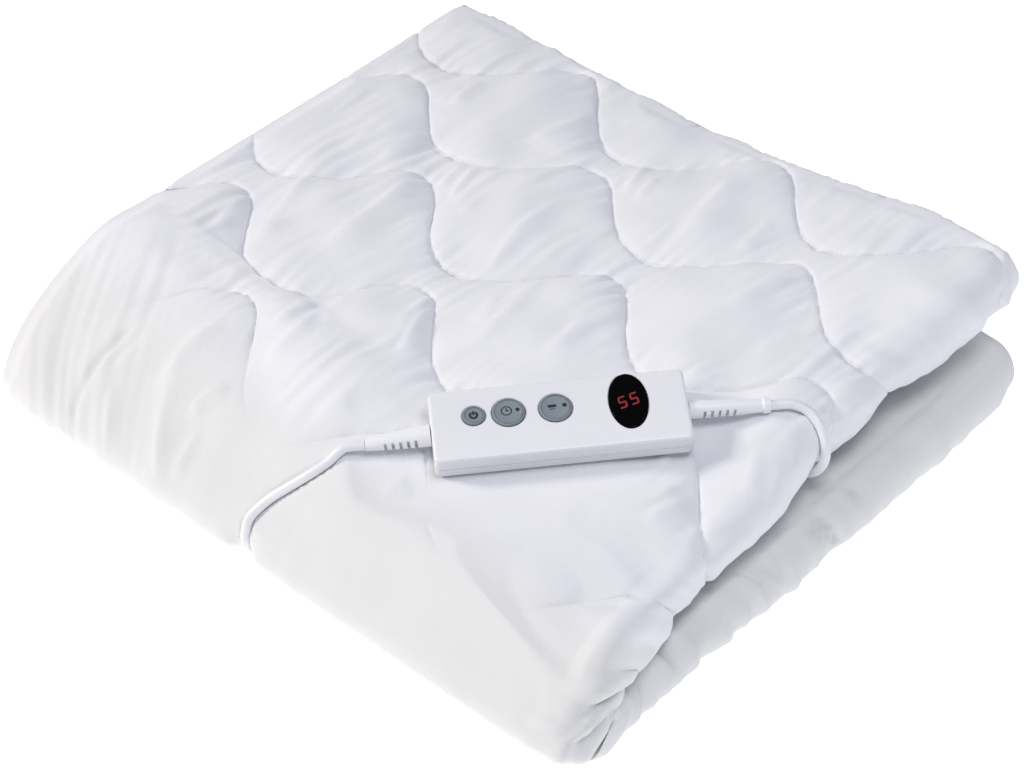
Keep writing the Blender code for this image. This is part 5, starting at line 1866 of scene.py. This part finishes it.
    def squared(
        self, distance: Points, quilting: Points, stack: Points, bulge: Points
    ) -> tuple[Points, Points]:
        """Makes the turn squarer, with a crisp upper edge, towards the front right corner.

        Args:
            distance: distance over the outer face.
            quilting: how far a column is quilted.
            stack: place in the stack, a value a column.
            bulge: distance past the end of the run, a value a column.

        Returns:
            Place in the stack and bulge of every point.
        """
        square = fade_in(distance, self.square_from) * quilting
        square = square * (1.0 - fade_in(distance, self.square_to))
        power = 1.0 - self.squareness * square
        core = (self.layers[0] + self.layers[1]) / 2
        half = self.layers[0] - core
        swing = np.clip((stack - core) / half, -1.0, 1.0)
        bent = core + half * np.sign(swing) * np.abs(swing) ** power
        fuller = self.wide_turn * np.clip(bulge / self.wide_turn, 0.0, 1.0) ** power
        squarer = (bulge > 0.0) & (square > 0.0)
        return np.where(squarer, bent, stack), np.where(squarer, fuller, bulge)

    def halves(
        self, limit: Points, part: Points, width: Points, bulge: Points, quilting: Points
    ) -> list[Points]:
        """Works out the sheet's half thickness before its relief.

        Args:
            limit: half the room that a layer has.
            part: place between two seams.
            width: distance from one seam to the next.
            bulge: distance past the end of the run.
            quilting: how far a column is quilted.

        Returns:
            Thickness on the outer and on the inner side of the sheet's middle.
        """
        full_cell = np.clip(width / self.wide_cell, self.least_cell, 1.0) ** self.cell_power
        crown = np.sin(math.pi * part) ** self.crown_power * full_cell
        full = np.minimum(self.crown, limit)
        thin = np.where(bulge == 0.0, 1.0, self.turn_thinning)
        plain = np.minimum(self.hidden_half, limit) * thin
        return [
            plain + (seam + (full - seam) * crown - plain) * quilting
            for seam in (self.seam_outside, self.seam_inside)
        ]

    def surfaces(self, fine: bool) -> dict:
        """Works out one grid of the sheet.

        Args:
            fine: whether it is the fine grid of the visible face.

        Returns:
            Outer and inner points, the cloth's own coordinates and its seam coordinates.
        """
        intervals, parts = self.rows(fine)
        share, bulge, stack, setback, quilting, past = self.columns(fine)
        over, reach = self.over()
        guess = self.packet.left_x + share * self.span()
        total = over[-1]
        straight = np.array([0.0, *(np.array(self.seam_places) * MM), total])[:, None]
        guides = straight + (self.guides(guess + past, total) - straight) * quilting
        part = parts[:, None]
        width = guides[intervals + 1] - guides[intervals]
        distance = guides[intervals] + width * part
        station = np.interp(distance, over, reach)
        x = self.places(station, share, setback)
        fold = distance - np.interp(self.packet.nose, reach[::-1], over[::-1])
        gather = self.gather * np.exp(-((fold / self.gather_reach) ** 2))
        gather = gather * np.sin(2 * math.pi * fold / self.gather_pitch)
        stack, bulge = self.squared(distance, quilting, stack, bulge)
        middle = self.packet.point(station, stack, x, self.place)
        middle[..., 0] += bulge + gather * np.clip(bulge / self.wide_turn, 0.0, 1.0)
        limit = (self.spacing(station, stack, x) - self.layer_gap) / 2
        outward, inward = self.halves(limit, part, width, bulge, quilting)
        plain = self.plain_front(distance)
        if fine:
            shown = smooth_step(quilting, 0.0, 0.6)
            extreme = np.cos(2 * math.pi * (guess - self.wave_peak_x) / self.wave_period) ** 2
            relief = ClothRelief(guess, past, extreme, distance, part, width, fold, plain)
            dome = self.dome(part, width, distance)
            outward = outward + (dome - outward + relief.height()) * shown
        for half in (outward, inward):
            self.thin_hems(half, distance, total, middle)
        normal = self.normals(middle)
        outer = middle + normal * outward[..., None]
        inner = middle - normal * inward[..., None]
        on_top = stack == self.layers[0]
        self.settle(outer, inner, (station > self.packet.nose) & on_top)
        outer[..., 2] = np.maximum(outer[..., 2], 0.0)
        inner[..., 2] = np.maximum(inner[..., 2], self.hem_end_half)
        outer = self.pressed(outer, normal, self.lead_clearance, on_top)
        inner = self.pressed(inner, normal, self.lead_clearance + self.lead_cloth, on_top)
        along = np.concatenate([[0.0], np.cumsum(np.abs(np.diff(x[len(x) // 2] + past)))])
        # where no stitch shows, the seam's own width is stretched out of the thread's reach, which takes
        # away its painted shade too
        hidden = np.maximum(plain, fade_in(past, self.stitches_end))
        seam_width = np.maximum(width, 0.1 * MM) * (1 + 60 * hidden)
        seam = np.stack(np.broadcast_arrays(intervals[:, None] + part, along, seam_width), -1)
        cloth = np.stack(np.broadcast_arrays(along, distance), -1)
        return {"outer": outer, "inner": inner, "seam": seam, "cloth": cloth}

    def thin_hems(self, half: Points, distance: Points, total: float, middle: Points) -> None:
        """Thins the sheet towards its sewn edges.

        Args:
            half: half thickness of every point, which is changed.
            distance: distance over the outer face from its back edge.
            total: the same distance at the sheet's other end.
            middle: points of the sheet's middle.
        """
        near, far = self.hem_reaches
        from_end = np.minimum(distance, total - distance)
        hem = (self.hem_half - self.hem_end_half) * smooth_step(from_end, 0.0, near)
        limit = self.hem_end_half + hem + self.hem_growth * smooth_step(from_end, near, far)
        np.minimum(half, limit, out=half)
        along = np.abs(middle[..., 0] - middle[:, :1, 0])
        edge = self.hem_end_half + self.hem_growth * smooth_step(along, 0.0, self.left_hem_reach)
        count = half.shape[1]
        first_half = np.arange(count)[None, :] < count // 2
        half[...] = np.where(first_half, np.minimum(half, edge), half)
        if count <= self.coarse_count():
            half[:, -1] = np.minimum(half[:, -1], self.hem_end_half)

    def spacing(self, station: Points, stack: Points, x: Points) -> Points:
        """Distance from one layer to the next, square to them."""
        step = 1e-3
        point = lambda s, t, u: self.packet.point(s, t, u, self.place)
        across = point(station + step, stack, x) - point(station - step, stack, x)
        along = point(station, stack, x + step) - point(station, stack, x - step)
        through = point(station, stack + step, x) - point(station, stack - step, x)
        normal = np.cross(across, along)
        normal /= np.linalg.norm(normal, axis=-1, keepdims=True)
        layer = self.layers[3] - self.layers[2]
        return np.abs((through * normal).sum(-1)) / (2 * step) * layer

    def normals(self, points: Points) -> Points:
        """Outward normals of a grid of points."""
        normal = np.cross(np.gradient(points, axis=0), np.gradient(points, axis=1))
        return normal / np.linalg.norm(normal, axis=-1, keepdims=True)

    def settle(self, outer: Points, inner: Points, upper: Points) -> None:
        """Lowers the upper face, both sides alike, to clear the controller that lies on it."""
        seat, follow = self.packet.seat(outer[..., 0], outer[..., 1], self.place)
        high = outer[..., 2] - seat - self.packet.seat_gap / 2
        high = high - self.packet.seat_rise * (1.0 - follow)
        drop = np.where(upper, np.clip(high, 0.0, 2 * self.packet.seat_drop), 0.0)
        for face in (outer, inner):
            face[..., 2] -= drop

    def pressed(self, points: Points, normal: Points, reach: float, on_top: Points) -> Points:
        """Presses the cloth in under both leads.

        Args:
            points: grid of points of one face.
            normal: outward normals there.
            reach: how far the face stays from a lead's own line.
            on_top: whether a point belongs to the outer layer.

        Returns:
            The points, moved inwards where a lead lies on them.
        """
        shown = np.broadcast_to(on_top, points.shape[:2])
        made = points.copy()
        for line in self.leads:
            box_low, box_high = line.min(0) - 0.03, line.max(0) + 0.03
            close = shown & np.all((points > box_low) & (points < box_high), axis=-1)
            if not close.any():
                continue
            cloud = points[close]
            apart = np.linalg.norm(cloud[:, None] - line[None], axis=-1)
            nearest = apart.argmin(1)
            tangent = np.gradient(line, axis=0)
            tangent /= np.linalg.norm(tangent, axis=-1, keepdims=True)
            out = normal[close]
            offset = cloud - line[nearest]
            offset -= tangent[nearest] * (offset * tangent[nearest]).sum(-1, keepdims=True)
            level = (offset * out).sum(-1)
            side = np.linalg.norm(offset - out * level[:, None], axis=-1)
            under = level + np.sqrt(np.maximum(reach**2 - side**2, 0.0))
            beyond = level * np.exp(-(((side - reach) / self.lead_spread) ** 2))
            need = np.where(side < reach, under, np.minimum(beyond, level))
            need = np.where(np.abs(level) < 4 * reach, np.maximum(need, 0.0), 0.0)
            made[close] = cloud - out * need[:, None]
        return made

    def plain_front(self, distance: Points) -> Points:
        """How far the seams have faded: not at all on top, wholly on the front slope."""
        return fade_in(distance, self.seams_fade)

    def dome(self, part: Points, width: Points, distance: Points) -> Points:
        """Height of the filled cells: round and full where they are wide, low at their necks."""
        wide = fade_in(width, self.dome_widths)
        full = self.neck_height + (self.dome_height - self.neck_height) * wide
        height = self.seam_outside + full * (4 * part * (1 - part)) ** self.dome_power
        level = self.seam_outside + self.plain_share * self.dome_height
        return height + (level - height) * self.plain_front(distance)

    def build(self) -> Piece:
        coarse, close = self.surfaces(fine=False), self.surfaces(fine=True)
        row_step = np.concatenate([[0], np.cumsum(self.fine_rows)])
        row_of = [0]
        for n, count in enumerate(self.coarse_rows):
            part = self.fine_rows[n] / count
            row_of += [int(round(row_step[n] + part * (k + 1))) for k in range(count)]
        joined = self.coarse_columns + self.wide_steps
        col_of = [n * self.fine_per_coarse for n in range(self.coarse_columns + 1)]
        col_of += [col_of[-1] + self.fine_per_step * (n + 1) for n in range(self.wide_steps)]
        mesh = SheetMesh(close, coarse, row_of, col_of, joined)
        blanket = mesh.object("quilted_cloth")
        blanket.data.materials.append(COTTON.material())
        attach(blanket, STACK_BODY)
        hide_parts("blanket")
        log.info("quilted_cloth: %d faces", len(blanket.data.polygons))
        return blanket


class SheetMesh:
    """One closed mesh: a fine visible face joined to a plainer hidden face round its rims."""

    def __init__(self, close: dict, coarse: dict, row_of: list, col_of: list, joined: int) -> None:
        """Numbers the points and lists the faces.

        Args:
            close: fine grid of the visible face.
            coarse: coarse grid of the whole sheet.
            row_of: fine row of each coarse row.
            col_of: fine column of each coarse column, as far as the fine grid goes.
            joined: last coarse column of the fine grid.
        """
        self.row_of, self.col_of, self.joined = row_of, col_of, joined
        rows, cols = close["outer"].shape[:2]
        self.fine = np.arange(rows * cols).reshape(rows, cols)
        tall, wide = coarse["outer"].shape[:2]
        hidden = coarse["outer"][:, joined + 1:]
        start = rows * cols
        self.back = start + np.arange(tall * (wide - joined - 1)).reshape(tall, -1)
        start += self.back.size
        self.inner = start + np.arange(tall * wide).reshape(tall, wide)
        self.points = np.concatenate([
            close["outer"].reshape(-1, 3), hidden.reshape(-1, 3), coarse["inner"].reshape(-1, 3)
        ])
        self.seam, self.cloth = (
            np.concatenate([
                close[name].reshape(-1, size), coarse[name][:, joined + 1:].reshape(-1, size),
                coarse[name].reshape(-1, size),
            ])
            for name, size in (("seam", 3), ("cloth", 2))
        )
        self.faces: list = []
        self.fill()

    def quads(self, grid: Points, flip: bool = False) -> None:
        """Adds all quads of one grid of point numbers."""
        corners = [grid[:-1, :-1], grid[1:, :-1], grid[1:, 1:], grid[:-1, 1:]]
        faces = np.stack([corner.ravel() for corner in corners], -1)
        self.faces += (faces[:, ::-1] if flip else faces).tolist()

    def outer_row(self, row: int, start: int) -> list:
        """Points of the outer rim along a first or last row, from one coarse column to the next."""
        fine_row = self.row_of[row]
        if start < self.joined:
            return self.fine[fine_row, self.col_of[start]:self.col_of[start + 1] + 1].tolist()
        if start == self.joined:
            return [int(self.fine[fine_row, -1]), int(self.back[row, 0])]
        place = start - self.joined - 1
        return self.back[row, place:place + 2].tolist()

    def fill(self) -> None:
        """Lists all faces: both grids, the join between them and the rims."""
        self.quads(self.fine)
        self.quads(self.back)
        self.quads(self.inner, flip=True)
        tall, wide = self.inner.shape
        inner, back = self.inner.tolist(), self.back.tolist()
        for r in range(tall - 1):
            close = self.fine[self.row_of[r]:self.row_of[r + 1] + 1]
            join, side = close[:, -1].tolist(), close[::-1, 0].tolist()
            self.faces.append([*join, back[r + 1][0], back[r][0]])
            self.faces.append([*side, inner[r][0], inner[r + 1][0]])
            self.faces.append([back[r][-1], back[r + 1][-1], inner[r + 1][-1], inner[r][-1]])
        for c in range(wide - 1):
            first, last = self.outer_row(0, c), self.outer_row(tall - 1, c)
            self.faces.append([*first, inner[0][c + 1], inner[0][c]])
            self.faces.append([*last[::-1], inner[-1][c], inner[-1][c + 1]])

    def object(self, name: str) -> Piece:
        """Makes the object, with the cloth's coordinates as its UV map and a seam attribute."""
        data = bpy.data.meshes.new(name)
        data.from_pydata(self.points.tolist(), [], self.faces)
        data.update()
        seam = data.attributes.new("seam", "FLOAT_VECTOR", "POINT")
        seam.data.foreach_set("vector", self.seam.astype(np.float32).ravel())
        corner = np.empty(len(data.loops), np.int32)
        data.loops.foreach_get("vertex_index", corner)
        layer = data.uv_layers.new(name="cloth")
        layer.data.foreach_set("uv", self.cloth[corner].astype(np.float32).ravel())
        data.polygons.foreach_set("use_smooth", np.ones(len(data.polygons), bool))
        blanket = bpy.data.objects.new(name, data)
        bpy.context.scene.collection.objects.link(blanket)
        return blanket


def main() -> None:
    """Builds the whole object round the frame, class by class, and lights it."""
    logging.basicConfig(level=logging.INFO, format="%(message)s")
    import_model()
    studio = Studio()
    studio.set_camera()
    place = ControllerPlace()
    leads = Leads(place)
    leads.build([*HankStrap().build(), *MainsPlug().build()])
    Controller(place).build()
    lines = [leads.points("left"), leads.points("right")]
    QuiltedBlanket(FoldedPacket(), place, lines).build()
    studio.set_light()


if __name__ == "__main__":
    main()
